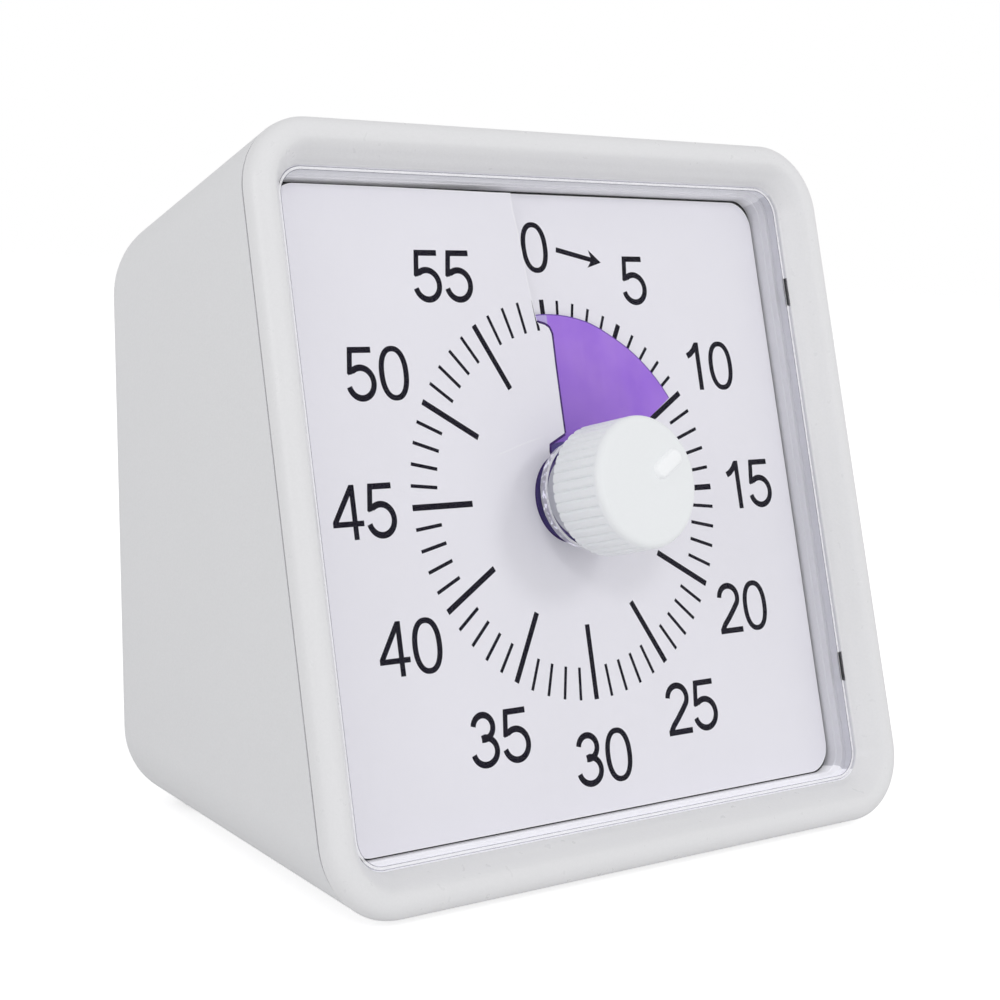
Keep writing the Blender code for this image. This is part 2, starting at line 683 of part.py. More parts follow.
def door():
    """Snap cover, hinged at its lower edge, with a finger scoop at the top."""
    at = back_matrix(0.0, -DOOR_Q, 0.0)
    lid = plate(DOOR_P, DOOR_Q, 1.5, -DOOR_T, 0.0, 4, (0.0, DOOR_Q))
    body = finish(lid, "battery_cover", "housing_white", at)
    scoop = plate(6.0, 2.4, 2.3, -0.7, 1.0, 5, (0.0, 2 * DOOR_Q - 4.2))
    cut(body, [scoop], at)
    ribs = [block(-20.0, -19.0, 3.0, 14.5, -2.2, -1.2), block(19.0, 20.0, 3.0, 14.5, -2.2, -1.2)]
    cut(body, ribs, at, "UNION")
    tongue = block(-2.4, 2.4, 14.2, 15.4, -3.1, -1.2)
    cut(body, [tongue], at, "UNION")


def sound_switch():
    at = back_matrix(0.0, 22.5)
    finish(plate(7.6, 3.9, 0.6, -10.0, -4.5, 3), "switch_body", "movement_black", at)
    rest = back_matrix(-2.2, 22.5)
    base = plate(6.6, 2.6, 0.5, -4.1, -2.8, 3)
    body = finish(base, "switch_slider", "switch_grey", rest)
    stem = plate(2.1, 1.4, 0.4, -3.5, 0.75, 4)
    cut(body, [stem], rest, "UNION")
    ribs = [block(-1.4 + i, -1.1 + i, -2.0, 2.0, 0.45, 1.5) for i in range(3)]
    cut(body, ribs, rest)


def housing_screws():
    shape = [(0.7, -11.5), (1.05, -10.6), (1.05, -0.7), (2.6, -0.7), (2.6, -0.1), (2.2, 0.25),
             (1.2, 0.45)]
    for i, spot in enumerate(screw_spots()):
        at = back_matrix(*spot)
        body = finish(turned(shape, 16), "housing_screw_%d" % (i + 1), "steel", at)
        cross = [block(-1.5, 1.5, -0.28, 0.28, -0.45, 1.0)]
        cut(body, cross, at)
        cut(body, [block(-0.28, 0.28, -1.5, 1.5, -0.45, 1.0)], at)


def feet():
    shape = [(3.6, BASE_Z - 0.5), (4.0, BASE_Z - 0.2), (4.0, BASE_Z + 0.6)]
    for i, (x, y) in enumerate(foot_spots()):
        at = Matrix.Translation((ORIGIN + Vector((x, y, 0.0))) * MM)
        finish(turned(shape, 20), "foot_%d" % (i + 1), "rubber_grey", at)


def wires():
    """Leads from the battery contacts to the circuit board, in the BACK frame."""
    red = [(26.4, 2.0, -20.4), (20.5, 6.0, -22.3), (15.0, 12.5, -20.2), (13.0, 17.0, -17.0),
           (12.0, 20.8, -16.1)]
    black = [(-p, q, m) for p, q, m in red]
    finish(sweep(smooth_path(red), 0.45), "red_wire", "wire_red", back_matrix())
    finish(sweep(smooth_path(black), 0.45), "black_wire", "wire_black", back_matrix())


def main():
    clear_scene()
    rear_housing()
    front_bezel()
    clear_lens()
    dial_card()
    time_disc()
    disc_hub()
    knob()
    dial_plate()
    movement()
    gear_train()
    electronics()
    battery_bay()
    sound_switch()
    housing_screws()
    feet()
    wires()


main()
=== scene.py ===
"""Looks for the sixty-minute visual countdown timer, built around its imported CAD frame.

Lengths are millimetres until a mesh is written, as in the part's own source.
FACE frame: u right, v up the dial, n out of the dial, origin at the dial centre.
BACK frame: p towards -X, q up the back panel, m outwards through the back panel.
"""
import math

import bmesh
import bpy
from mathutils import Matrix, Vector


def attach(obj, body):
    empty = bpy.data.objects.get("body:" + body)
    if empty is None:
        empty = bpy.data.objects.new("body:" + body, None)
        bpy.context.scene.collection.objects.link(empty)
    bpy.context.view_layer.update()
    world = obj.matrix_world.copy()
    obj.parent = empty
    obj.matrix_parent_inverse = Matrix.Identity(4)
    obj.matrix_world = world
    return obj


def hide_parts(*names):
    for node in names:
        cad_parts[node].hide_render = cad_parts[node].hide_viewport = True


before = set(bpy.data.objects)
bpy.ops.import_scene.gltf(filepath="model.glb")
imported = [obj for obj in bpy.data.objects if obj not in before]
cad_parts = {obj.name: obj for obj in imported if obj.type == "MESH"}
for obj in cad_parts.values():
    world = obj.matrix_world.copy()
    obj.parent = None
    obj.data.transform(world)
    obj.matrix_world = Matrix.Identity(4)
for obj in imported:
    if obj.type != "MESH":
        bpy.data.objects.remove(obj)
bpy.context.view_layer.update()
MM = 0.001

# body, as in the CAD
TILT = math.radians(15.3)
ORIGIN = Vector((0.0, -13.2008, 36.83))
HALF_W, HALF_H, CORNER_R = 40.0, 38.6, 7.75
PART_N, SEAM = 3.4, 0.16
SIDE_TAPER = 0.172
BASE_Z = -36.33
TOP_SLOPE = math.radians(20.04)
TOP_Y, TOP_Z = 6.91, 38.13
BACK_Y, BACK_LEAN, BAY_Z = 40.4, math.radians(2.9), -22.3
WALL, BACK_WALL, REAR_EDGE_R = 2.0, 2.4, 5.2
DOOR_P, DOOR_Q, DOOR_T = 26.3, 8.8, 1.5
TRAY_P, TRAY_Q, CELL_M, CELL_R = 28.2, 10.0, -10.6, 7.1
SWITCH_Q, SWITCH_REST = 22.5, -2.2

# dial
CARD_W, CARD_H, CARD_R, CARD_T, CARD_HOLE = 34.4, 33.0, 3.0, 0.06, 4.75
CARD_START, CARD_CURL, CARD_PULL = -12.0, 0.75, 0.3
DISC_R, DISC_HOLE, DISC_T, DISC_SWEEP, DISC_BULGE = 19.5, 4.0, 0.05, 354.5, 0.22
DIAL_LOW, DIAL_RISE, FILM_LIFT = -0.54, 0.62, 0.518
FILM_EDGE = 58.5  # leading edge of the film, a little short of the ten-minute mark
HUB_R = 4.35
PRINT_LOW, PRINT_T = -0.002, 0.004  # printed shapes reach this far into and out of the card
PRINT_U, PRINT_V = 0.64, 0.13  # sideways shift of the print per millimetre of the card's height
TICK_OUT, TICK_MIN, TICK_FIVE = 21.4, 18.0, 13.55
MINUTE_W, FIVE_W, TICK_STEPS = 0.37, 0.64, 6
NUMERAL_R, DIGIT_STEP, STROKE = 27.4, 4.15, 0.67

# knob
REST_TURN = 60.0
KNOB_R, KNOB_BACK, KNOB_FRONT, KNOB_FLUTES, STEM_R = 6.9, 4.8, 12.1, 40, 4.5
LENS_BACK, LENS_FRONT, LENS_W, LENS_H, LENS_R, LENS_HOLE = 1.65, 2.8, 35.46, 34.06, 3.2, 5.65
SNAP_V = 21.7
SHELF_IN, LIP_RISE = 4.46, 0.12  # inset of the bezel's inner wall; lift of its lower lip

# camera: place relative to the dial centre, aim and lens
CAMERA_AT = Vector((-163.437, -176.011, 32.515))
YAW, PITCH, ROLL = math.radians(40.25), math.radians(-4.16), math.radians(2.613)
LENS, SHIFT_X, SHIFT_Y = 82.14, 0.0269, -0.1497

AXIS_V = Vector((0.0, math.sin(TILT), math.cos(TILT)))
AXIS_N = Vector((0.0, -math.cos(TILT), math.sin(TILT)))


# ---- frames and meshes
def axes(*columns):
    """Matrix from its three axes and its origin."""
    m = Matrix.Identity(4)
    for i, column in enumerate(columns):
        m.col[i][:3] = column
    return m


def back_matrix(p=0.0, q=0.0, m_off=0.0):
    s, c = math.sin(BACK_LEAN), math.cos(BACK_LEAN)
    up, out = Vector((0.0, s, c)), Vector((0.0, c, -s))
    foot = ORIGIN + Vector((0.0, BACK_Y + math.tan(BACK_LEAN) * BAY_Z, BAY_Z))
    return axes((-1.0, 0.0, 0.0), up, out, foot + Vector((-p, 0.0, 0.0)) + up * q + out * m_off)


FACE = axes((1.0, 0.0, 0.0), AXIS_V, AXIS_N, ORIGIN)
WORLD = Matrix.Translation(ORIGIN)


def place(bm, name, at=FACE):
    """Write a millimetre bmesh as an object in metres, its place in its vertices."""
    bmesh.ops.remove_doubles(bm, verts=bm.verts, dist=1e-5)
    bmesh.ops.recalc_face_normals(bm, faces=bm.faces)
    bm.transform(Matrix.Scale(MM, 4) @ at)
    mesh = bpy.data.meshes.new(name)
    bm.to_mesh(mesh)
    bm.free()
    obj = bpy.data.objects.new(name, mesh)
    bpy.context.scene.collection.objects.link(obj)
    return obj


def apply_all(obj):
    """Swap the mesh for its evaluated one and drop the modifiers."""
    bpy.context.view_layer.update()
    graph = bpy.context.evaluated_depsgraph_get()
    mesh = bpy.data.meshes.new_from_object(obj.evaluated_get(graph))
    obj.modifiers.clear()
    old = obj.data
    obj.data = mesh
    bpy.data.meshes.remove(old)


def merge(parts):
    total = bmesh.new()
    for bm in parts:
        mesh = bpy.data.meshes.new("tmp")
        bm.to_mesh(mesh)
        bm.free()
        total.from_mesh(mesh)
        bpy.data.meshes.remove(mesh)
    return total


def combine(obj, other, operation):
    """Boolean of two objects; the second one is used up."""
    mod = obj.modifiers.new("shape", "BOOLEAN")
    mod.operation = operation
    mod.solver = "EXACT"
    mod.object = other
    apply_all(obj)
    bpy.data.objects.remove(other, do_unlink=True)


def cut(obj, parts, at=FACE, operation="DIFFERENCE"):
    combine(obj, place(merge(parts), "cutter", at), operation)


def soften(obj, width, segments=3, angle=38.0):
    """Small fillet on every sharp edge."""
    mod = obj.modifiers.new("fillet", "BEVEL")
    mod.width = width * MM
    mod.segments = segments
    mod.limit_method = "ANGLE"
    mod.angle_limit = math.radians(angle)
    mod.use_clamp_overlap = True
    mod.harden_normals = True
    smooth(obj)
    apply_all(obj)


def smooth(obj, angle=38.0):
    obj.data.shade_smooth()
    obj.data.set_sharp_from_angle(angle=math.radians(angle))


def dress(obj, finish, *nodes, body="housing", slot=None):
    """Finish, the CAD nodes a piece stands for, and its body; the slot argument is not used."""
    if not obj.data.materials:
        obj.data.materials.append(None)
    obj.data.materials[0] = MATS[finish]
    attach(obj, body)
    if nodes:
        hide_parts(*nodes)


def finishes(obj, at, keys, pick):
    """Add finishes to a dressed piece; pick gives each face's slot from its local corners."""
    for key in keys:
        obj.data.materials.append(MATS[key])
    inverse = at.inverted()
    for face in obj.data.polygons:
        corners = [inverse @ (obj.data.vertices[k].co / MM) for k in face.vertices]
        face.material_index = int(pick(corners))


def middle(corners):
    return sum(corners, Vector()) / len(corners)


# ---- shapes
def rounded_rect(hw, hh, r, k=16):
    pts = []
    for sx, sy, start in ((1, 1, 0), (-1, 1, 90), (-1, -1, 180), (1, -1, 270)):
        for i in range(k + 1):
            a = math.radians(start + 90.0 * i / k)
            pts.append((sx * (hw - r) + r * math.cos(a), sy * (hh - r) + r * math.sin(a)))
    return pts


def loft(rings, closed=False):
    """Rings of equal length; closed joins last to first, otherwise the ends are capped."""
    bm = bmesh.new()
    rows = [[bm.verts.new(p) for p in ring] for ring in rings]
    count = len(rows[0])
    pairs = list(zip(rows, rows[1:]))
    if closed:
        pairs.append((rows[-1], rows[0]))
    for a, b in pairs:
        for i in range(count):
            j = (i + 1) % count
            bm.faces.new((a[i], a[j], b[j], b[i]))
    if not closed:
        bm.faces.new(rows[0])
        bm.faces.new(rows[-1])
    return bm


def stack(hw, hh, r, steps, k, centre=(0.0, 0.0)):
    """Loft of rounded rectangles, each step an inset from the outline and a height."""
    cu, cv = centre
    rings = []
    for inset, n in steps:
        ring = rounded_rect(hw - inset, hh - inset, r - inset, k)
        rings.append([(x + cu, y + cv, n) for x, y in ring])
    return loft(rings)


def plate(hw, hh, r, n0, n1, k=10, centre=(0.0, 0.0)):
    return stack(hw, hh, r, ((0.0, n0), (0.0, n1)), k, centre)


def turned(profile, seg=64, closed=False, centre=(0.0, 0.0)):
    cu, cv = centre
    rings = []
    for r, n in profile:
        steps = [2 * math.pi * i / seg for i in range(seg)]
        rings.append([(cu + r * math.cos(a), cv + r * math.sin(a), n) for a in steps])
    return loft(rings, closed)


def rod(r, n0, n1, seg=40, centre=(0.0, 0.0)):
    return turned([(r, n0), (r, n1)], seg, False, centre)


def block(x0, x1, y0, y1, z0, z1):
    ring = [(x0, y0), (x1, y0), (x1, y1), (x0, y1)]
    return loft([[(x, y, z) for x, y in ring] for z in (z0, z1)])


def arc(cx, cy, rx, ry, start, end, count=14):
    """Points on an ellipse, angles in degrees from the x axis."""
    out = []
    for i in range(count + 1):
        a = math.radians(start + (end - start) * i / count)
        out.append((cx + rx * math.cos(a), cy + ry * math.sin(a)))
    return out


def spline(points, steps=6):
    """Catmull-Rom points through the given ones, any dimension."""
    pts = [Vector(p) for p in points]
    pts = [pts[0]] + pts + [pts[-1]]
    out = []
    for a, b, c, d in zip(pts, pts[1:], pts[2:], pts[3:]):
        for i in range(steps):
            t = i / steps
            out.append(0.5 * (2 * b + (c - a) * t + (2 * a - 5 * b + 4 * c - d) * t ** 2
                              + (3 * b - a - 3 * c + d) * t ** 3))
    out.append(pts[-1])
    return out


def sweep(points, radius, seg=12):
    pts = [Vector(p) for p in points]
    last = len(pts) - 1
    tangents = [(pts[min(i + 1, last)] - pts[max(i - 1, 0)]).normalized() for i in range(last + 1)]
    side = tangents[0].orthogonal().normalized()
    rings = []
    for p, t in zip(pts, tangents):
        side = (side - t * side.dot(t)).normalized()
        other = t.cross(side)
        steps = [2 * math.pi * k / seg for k in range(seg)]
        rings.append([p + radius * (side * math.cos(a) + other * math.sin(a)) for a in steps])
    return loft(rings)


# ---- materials
class Nodes:
    """Short calls for building the node tree of one material, or of the world."""

    def __init__(self, name, owner=bpy.data.materials, shader="Principled BSDF",
                 out="Material Output"):
        self.mat = owner.new(name)
        self.mat.use_nodes = True
        self.tree = self.mat.node_tree
        self.shader = self.tree.nodes[shader]
        self.out = self.tree.nodes[out]
        self.coords = self.tree.nodes.new("ShaderNodeTexCoord").outputs["Object"]

    def add(self, kind, inputs=None, **settings):
        node = self.tree.nodes.new("ShaderNode" + kind)
        for key, value in settings.items():
            setattr(node, key, value)
        for key, value in (inputs or {}).items():
            self.feed(node.inputs[key], value)
        return node

    def feed(self, socket, value):
        if isinstance(value, bpy.types.NodeSocket):
            self.tree.links.new(value, socket)
        else:
            socket.default_value = value

    def set(self, **values):
        for key, value in values.items():
            self.feed(self.shader.inputs[key.replace("_", " ")], value)

    def noise(self, scale, detail=4.0, roughness=0.5, stretch=None):
        where = self.coords
        if stretch:
            where = self.add("Mapping", {"Vector": self.coords, "Scale": stretch}).outputs[0]
        node = self.add("TexNoise", {"Vector": where, "Scale": scale, "Detail": detail,
                                     "Roughness": roughness})
        return node.outputs[0]

    def remap(self, value, low, high, from_low=0.3, from_high=0.7):
        node = self.add("MapRange", {"Value": value, "From Min": from_low, "From Max": from_high,
                                     "To Min": low, "To Max": high})
        return node.outputs[0]

    def mix(self, factor, a, b):
        return self.add("Mix", {0: factor, 6: a, 7: b}, data_type="RGBA").outputs[2]

    def math(self, operation, *values):
        return self.add("Math", dict(enumerate(values)), operation=operation).outputs[0]

    def blend(self, factor, a, b):
        return self.add("MixShader", {0: factor, 1: a.outputs[0], 2: b.outputs[0]})

    def surface(self, node):
        self.tree.links.new(node.outputs[0], self.out.inputs["Surface"])

    def bump(self, height, distance, strength=1.0, below=None):
        node = self.add("Bump", {"Height": height, "Strength": strength, "Distance": distance})
        if below:
            self.feed(node.inputs["Normal"], below)
        return node.outputs[0]


def rgb(r, g, b, share=1.0):
    return (r * share, g * share, b * share, 1.0)


def moulded(name, colour, rough, grain=1.0, mottle=0.035, painted_glow=0.0):
    """Injection-moulded plastic: spark-eroded grain, faint flow mottling, tiny specks; the last
    argument adds painted light, an emission that brightens the surface though no lamp shines on it.
    """
    m = Nodes(name)
    cloud = m.remap(m.noise(55.0, 3.0), 1.0 - mottle, 1.0 + mottle * 0.3)
    fine = m.noise(5200.0, 3.0, 0.6)
    cells = m.add("TexVoronoi", {"Vector": m.coords, "Scale": 3100.0}).outputs["Distance"]
    tint = m.mix(cloud, rgb(*colour, 0.8), rgb(*colour))
    specks = m.remap(m.noise(3600.0, 2.0), 0.0, 0.10 * grain)
    m.set(Base_Color=m.mix(specks, tint, rgb(*colour, 0.8)))
    m.set(Roughness=m.remap(m.noise(900.0, 4.0), rough - 0.03, rough + 0.04))
    texture = m.math("ADD", fine, m.math("MULTIPLY", cells, 0.7))
    waves = m.bump(m.noise(60.0, 2.0), 0.0002, 0.12)
    m.set(Normal=m.bump(texture, 0.000012, 0.55 * grain, waves))
    # painted light: emission that lifts the surface out of its shade
    m.set(Emission_Color=rgb(0.97, 0.96, 1.0), Emission_Strength=painted_glow)
    return m.mat


def paper(name, colour):
    """Coated card: soft fibre mottling and a slight calendered sheen."""
    m = Nodes(name)
    cloud = m.remap(m.noise(48.0, 5.0, 0.6), 0.0, 1.0)
    fibre = m.noise(2600.0, 5.0, 0.65)
    base = m.mix(cloud, rgb(*colour, 0.972), rgb(*colour))
    m.set(Base_Color=m.mix(m.remap(fibre, 0.0, 0.10), base, rgb(*colour, 0.82)))
    m.set(Roughness=m.remap(fibre, 0.52, 0.66), Specular_IOR_Level=0.35)
    m.set(Normal=m.bump(fibre, 0.000008, 0.35, m.bump(m.noise(30.0, 2.0), 0.0002, 0.10)))
    return m.mat


def film_material(name, inner, outer):
    """Dyed polyester film: even colour, darker towards the hub, faint streaks."""
    m = Nodes(name)
    cloud = m.remap(m.noise(150.0, 5.0, 0.62), 0.0, 1.0)
    streak = m.noise(900.0, 3.0, 0.5, (1.0, 0.12, 0.12))
    tone = m.mix(cloud, rgb(*inner), rgb(*outer))
    shifted = m.add("VectorMath", {0: m.coords, 1: tuple(ORIGIN * MM)}, operation="SUBTRACT")
    out = m.add("VectorMath", {0: shifted.outputs[0]}, operation="LENGTH").outputs["Value"]
    tone = m.mix(m.remap(out, 0.7, 0.0, 0.006, 0.0175), tone, rgb(*inner, 0.66))
    m.set(Base_Color=m.mix(m.remap(streak, 0.0, 0.12), tone, rgb(*inner, 0.7)))
    m.set(Roughness=m.remap(streak, 0.36, 0.48), Specular_IOR_Level=0.4)
    m.set(Normal=m.bump(m.noise(1500.0, 3.0), 0.000005, 0.3))
    return m.mat


def ink_material(name, colour):
    """Screen-printed ink with a slightly uneven lay-down."""
    m = Nodes(name)
    cloud = m.remap(m.noise(1400.0, 3.0), 0.0, 1.0)
    m.set(Base_Color=m.mix(cloud, rgb(*colour), rgb(*colour, 1.7)))
    m.set(Roughness=m.remap(m.noise(2400.0, 2.0), 0.42, 0.6), Specular_IOR_Level=0.06)
    m.set(Normal=m.bump(m.noise(3800.0, 2.0), 0.000004, 0.3))
    return m.mat


def clear_material(name, tint, rough=0.03, haze=0.0, base=0.007, slant=0.9):
    """Thin clear styrene: a pane that passes light straight and mirrors more at a slant."""
    m = Nodes(name)
    smear = m.noise(38.0, 4.0, 0.6)
    gloss = m.add("BsdfGlossy", {"Color": (1.0, 1.0, 1.0, 1.0),
                                 "Roughness": m.remap(smear, rough, rough + 0.05)})
    ripple = m.bump(m.noise(26.0, 2.0), 0.0001, 0.05)
    m.feed(gloss.inputs["Normal"], ripple)
    through = m.add("BsdfTransparent", {"Color": rgb(*tint)})
    cloudy = m.add("BsdfDiffuse", {"Color": (0.9, 0.9, 0.94, 1.0)})
    body = m.blend(m.remap(smear, haze, haze * 1.3), through, cloudy)
    facing = m.add("LayerWeight", {"Normal": ripple}).outputs["Facing"]
    grazing = m.math("POWER", facing, 5.0)
    m.surface(m.blend(m.math("MULTIPLY_ADD", grazing, slant, base), body, gloss))
    return m.mat


def edge_material(name, colour, solid, painted_glints=0.0):
    """Edge band of the clear sheet in one flat colour, see-through in small flaws: painted light on
    the polished edge, and the last argument makes the flaws glow as painted glints.
    """
    m = Nodes(name)
    m.set(Base_Color=rgb(*colour), Roughness=0.25, Specular_IOR_Level=0.6)
    m.set(Normal=m.bump(m.noise(1400.0, 3.0), 0.00005, 0.5))
    flaw = m.noise(2300.0, 2.0, 0.6, (0.35, 1.0, 1.0))
    # painted glints: small flaws glow
    if painted_glints:
        m.set(Emission_Color=(0.9, 0.9, 1.0, 1.0))
        m.set(Emission_Strength=m.remap(flaw, 0.0, painted_glints, 0.55, 0.62))
    clear = m.add("BsdfTransparent", {"Color": (0.9, 0.9, 0.93, 1.0)})
    m.surface(m.blend(m.remap(flaw, solid - 0.1, solid + 0.1), clear, m.shader))
    return m.mat


def metal(name, colour, rough, streaks=(1.0, 1.0, 12.0), depth=0.000004):
    """Drawn or plated metal with directional scratches and dulled patches."""
    m = Nodes(name)
    line = m.noise(900.0, 5.0, 0.6, streaks)
    patch = m.noise(160.0, 4.0)
    m.set(Base_Color=m.mix(m.remap(patch, 0.0, 1.0), rgb(*colour, 0.82), rgb(*colour)))
    m.set(Metallic=1.0, Roughness=m.remap(line, rough - 0.08, rough + 0.12))
    m.set(Normal=m.bump(line, depth, 0.5))
    return m.mat


def rubber(name, colour):
    m = Nodes(name)
    grain = m.noise(2600.0, 4.0, 0.7)
    dust = m.remap(m.noise(210.0, 5.0, 0.7), 0.0, 0.35)
    m.set(Base_Color=m.mix(dust, rgb(*colour), rgb(*colour, 1.6)))
    m.set(Roughness=m.remap(grain, 0.72, 0.9), Normal=m.bump(grain, 0.00002, 0.6))
    m.set(Specular_IOR_Level=0.25)
    return m.mat


def board_material(name):
    """Solder mask over etched tracks, with tinned pads."""
    m = Nodes(name)
    track = m.add("TexBrick", {"Vector": m.coords, "Scale": 420.0, "Mortar Size": 0.09,
                               "Mortar Smooth": 0.2, "Bias": 0.0}).outputs["Fac"]
    pads = m.add("TexVoronoi", {"Vector": m.coords, "Scale": 330.0}).outputs["Distance"]
    pad = m.remap(pads, 1.0, 0.0, 0.10, 0.16)
    mask = m.mix(track, (0.012, 0.11, 0.045, 1.0), (0.03, 0.22, 0.09, 1.0))
    m.set(Base_Color=m.mix(pad, mask, (0.62, 0.62, 0.6, 1.0)), Metallic=pad)
    m.set(Roughness=m.remap(m.noise(600.0), 0.28, 0.42))
    m.set(Normal=m.bump(track, 0.00003, 0.5))
    return m.mat


def winding_material(name, colour):
    """Enamelled wire laid in close turns."""
    m = Nodes(name)
    turns = m.add("TexWave", {"Vector": m.coords, "Scale": 1600.0, "Distortion": 0.6,
                              "Detail": 2.0}, bands_direction="X").outputs["Fac"]
    m.set(Base_Color=m.mix(turns, rgb(*colour, 0.45), rgb(*colour)), Metallic=0.85)
    m.set(Roughness=0.3, Normal=m.bump(turns, 0.00005, 0.8))
    return m.mat


def wrap_material(name, colour, band, at, along):
    """Shrink sleeve on a cell: two plain colours that meet in a ring, with fine wrinkles."""
    m = Nodes(name)
    axis = m.add("VectorMath", {0: m.coords, 1: tuple(along)}, operation="DOT_PRODUCT")
    past = m.remap(axis.outputs["Value"], 0.0, 1.0, at - 0.00015, at + 0.00015)
    wear = m.remap(m.noise(700.0, 5.0, 0.7), 0.0, 0.12)
    tone = m.mix(past, rgb(*colour), rgb(*band))
    m.set(Base_Color=m.mix(wear, tone, (0.7, 0.7, 0.7, 1.0)))
    m.set(Roughness=m.remap(m.noise(240.0, 4.0), 0.2, 0.36), Specular_IOR_Level=0.55)
    m.set(Normal=m.bump(m.noise(260.0, 3.0, 0.5, (1.0, 4.0, 4.0)), 0.00004, 0.25))
    return m.mat


# name, colour, roughness, grain, mottle, glow (glow is painted light)
MOULDED = {
    "housing_white": ("housing_white_grain", (0.755, 0.758, 0.775), 0.50, 1.3),
    # wall_top and wall_low are the bezel plastic with painted light; wall_right is a darker copy,
    # painted shade on both side walls
    "wall_top": ("bezel_wall_upper_painted_light", (0.76, 0.76, 0.785), 0.42, 1.0, 0.02, 0.10),
    "wall_low": ("bezel_wall_lower_painted_light", (0.76, 0.76, 0.785), 0.42, 1.0, 0.02, 0.26),
    "wall_right": ("bezel_wall_side_painted_shade", (0.72, 0.72, 0.755), 0.42, 1.0, 0.02, 0.0),
    # seam_edge is a near-white copy of the housing plastic: a painted highlight on the shell's
    # front rim
    "seam_edge": ("housing_seam_highlight", (0.95, 0.95, 0.96), 0.35, 0.4),
    "bezel_white": ("bezel_white_satin", (0.76, 0.76, 0.775), 0.30, 1.0, 0.02),
    # the knob finishes glow as painted light that lifts the knob's shaded side; knob_bar is a
    # lighter copy, a painted highlight on the bar
    "knob_white": ("knob_white_satin_painted_glow", (0.70, 0.72, 0.73), 0.38, 0.6, 0.015, 0.12),
    "knob_bar": ("knob_bar_painted_highlight", (0.79, 0.805, 0.815), 0.34, 0.6, 0.015, 0.12),
    # knob_stem is a grey copy of the white knob plastic: painted shade on the stem under the cap
    "knob_stem": ("knob_stem_painted_shade", (0.55, 0.56, 0.60), 0.40, 0.4, 0.02),
    "hub_purple": ("hub_purple_gloss", (0.075, 0.045, 0.19), 0.28, 0.3),
    "frame_plastic": ("frame_grey", (0.50, 0.51, 0.53), 0.55, 1.0),
    "frame_dark": ("frame_charcoal", (0.022, 0.022, 0.026), 0.6, 1.0),
    "movement_black": ("movement_black_case", (0.022, 0.022, 0.025), 0.42, 0.9),
    "chip_black": ("resin_black", (0.012, 0.012, 0.013), 0.3, 0.7),
    "wire_red": ("lead_red", (0.55, 0.03, 0.025), 0.38, 0.4),
    "wire_black": ("lead_black", (0.02, 0.02, 0.02), 0.4, 0.4),
    "switch_grey": ("switch_charcoal", (0.055, 0.057, 0.062), 0.45, 0.8),
    "gear_acetal": ("acetal_natural", (0.84, 0.83, 0.77), 0.36, 0.3),
}
MATS = {key: moulded(*row) for key, row in MOULDED.items()}
MATS.update({
    "clear_plastic": clear_material("lens_clear", (0.985, 0.985, 0.99)),
    # lens_lip, lens_wall and lens_line are painted light on the clear sheet: a bright highlight
    # band, a whitish hole wall with glowing glints, and a dark line of painted shade
    "lens_lip": edge_material("lens_lip_painted_highlight", (0.93, 0.93, 0.95), 0.78),
    "lens_side": clear_material("lens_side_clear", (0.97, 0.97, 0.985), 0.2, 0.0, 0.0, 0.03),
    "lens_wall": edge_material("lens_wall_painted_light", (0.80, 0.79, 0.86), 0.55, 0.55),
    "lens_line": edge_material("lens_edge_painted_shade", (0.10, 0.10, 0.14), 0.45),
    "dial_paper": paper("dial_card_stock", (0.875, 0.865, 0.91)),
    # card_fold is a lighter copy of the card stock: a painted highlight along the card's outer
    # edge, the flap's free edge and the fold
    "card_fold": paper("dial_card_highlight", (0.93, 0.925, 0.95)),
    "print": ink_material("dial_print_ink", (0.004, 0.003, 0.009)),
    "purple_film": film_material("timer_film", (0.325, 0.135, 0.75), (0.43, 0.22, 0.79)),
    # film_rim, film_shade and film_pale are painted light on the film: a dark edge line, shade at
    # the root by the hub, and a pale glare patch by the slit
    "film_rim": film_material("timer_film_rim_shade", (0.13, 0.055, 0.36), (0.17, 0.075, 0.42)),
    "film_shade": film_material("timer_film_root_shade", (0.10, 0.07, 0.30), (0.14, 0.10, 0.37)),
    "film_pale": film_material("timer_film_painted_glare", (0.46, 0.36, 0.72), (0.54, 0.46, 0.78)),
    # slit_line is painted shadow: a dark ink-coloured line along the card's slit, notch and hole
    # edge
    "slit_line": ink_material("card_slit_shadow", (0.05, 0.022, 0.12)),
    "steel": metal("steel_plated", (0.62, 0.62, 0.63), 0.26),
    "brass": metal("brass_turned", (0.78, 0.56, 0.24), 0.3),
    "copper_wire": winding_material("coil_windings", (0.65, 0.27, 0.12)),
    "board_green": board_material("board_mask"),
    "rubber_grey": rubber("foot_rubber", (0.16, 0.16, 0.17)),
})


# ---- housing
def meet(planes):
    rows = Matrix([p[0] for p in planes])
    return rows.inverted() @ Vector([p[1] for p in planes])


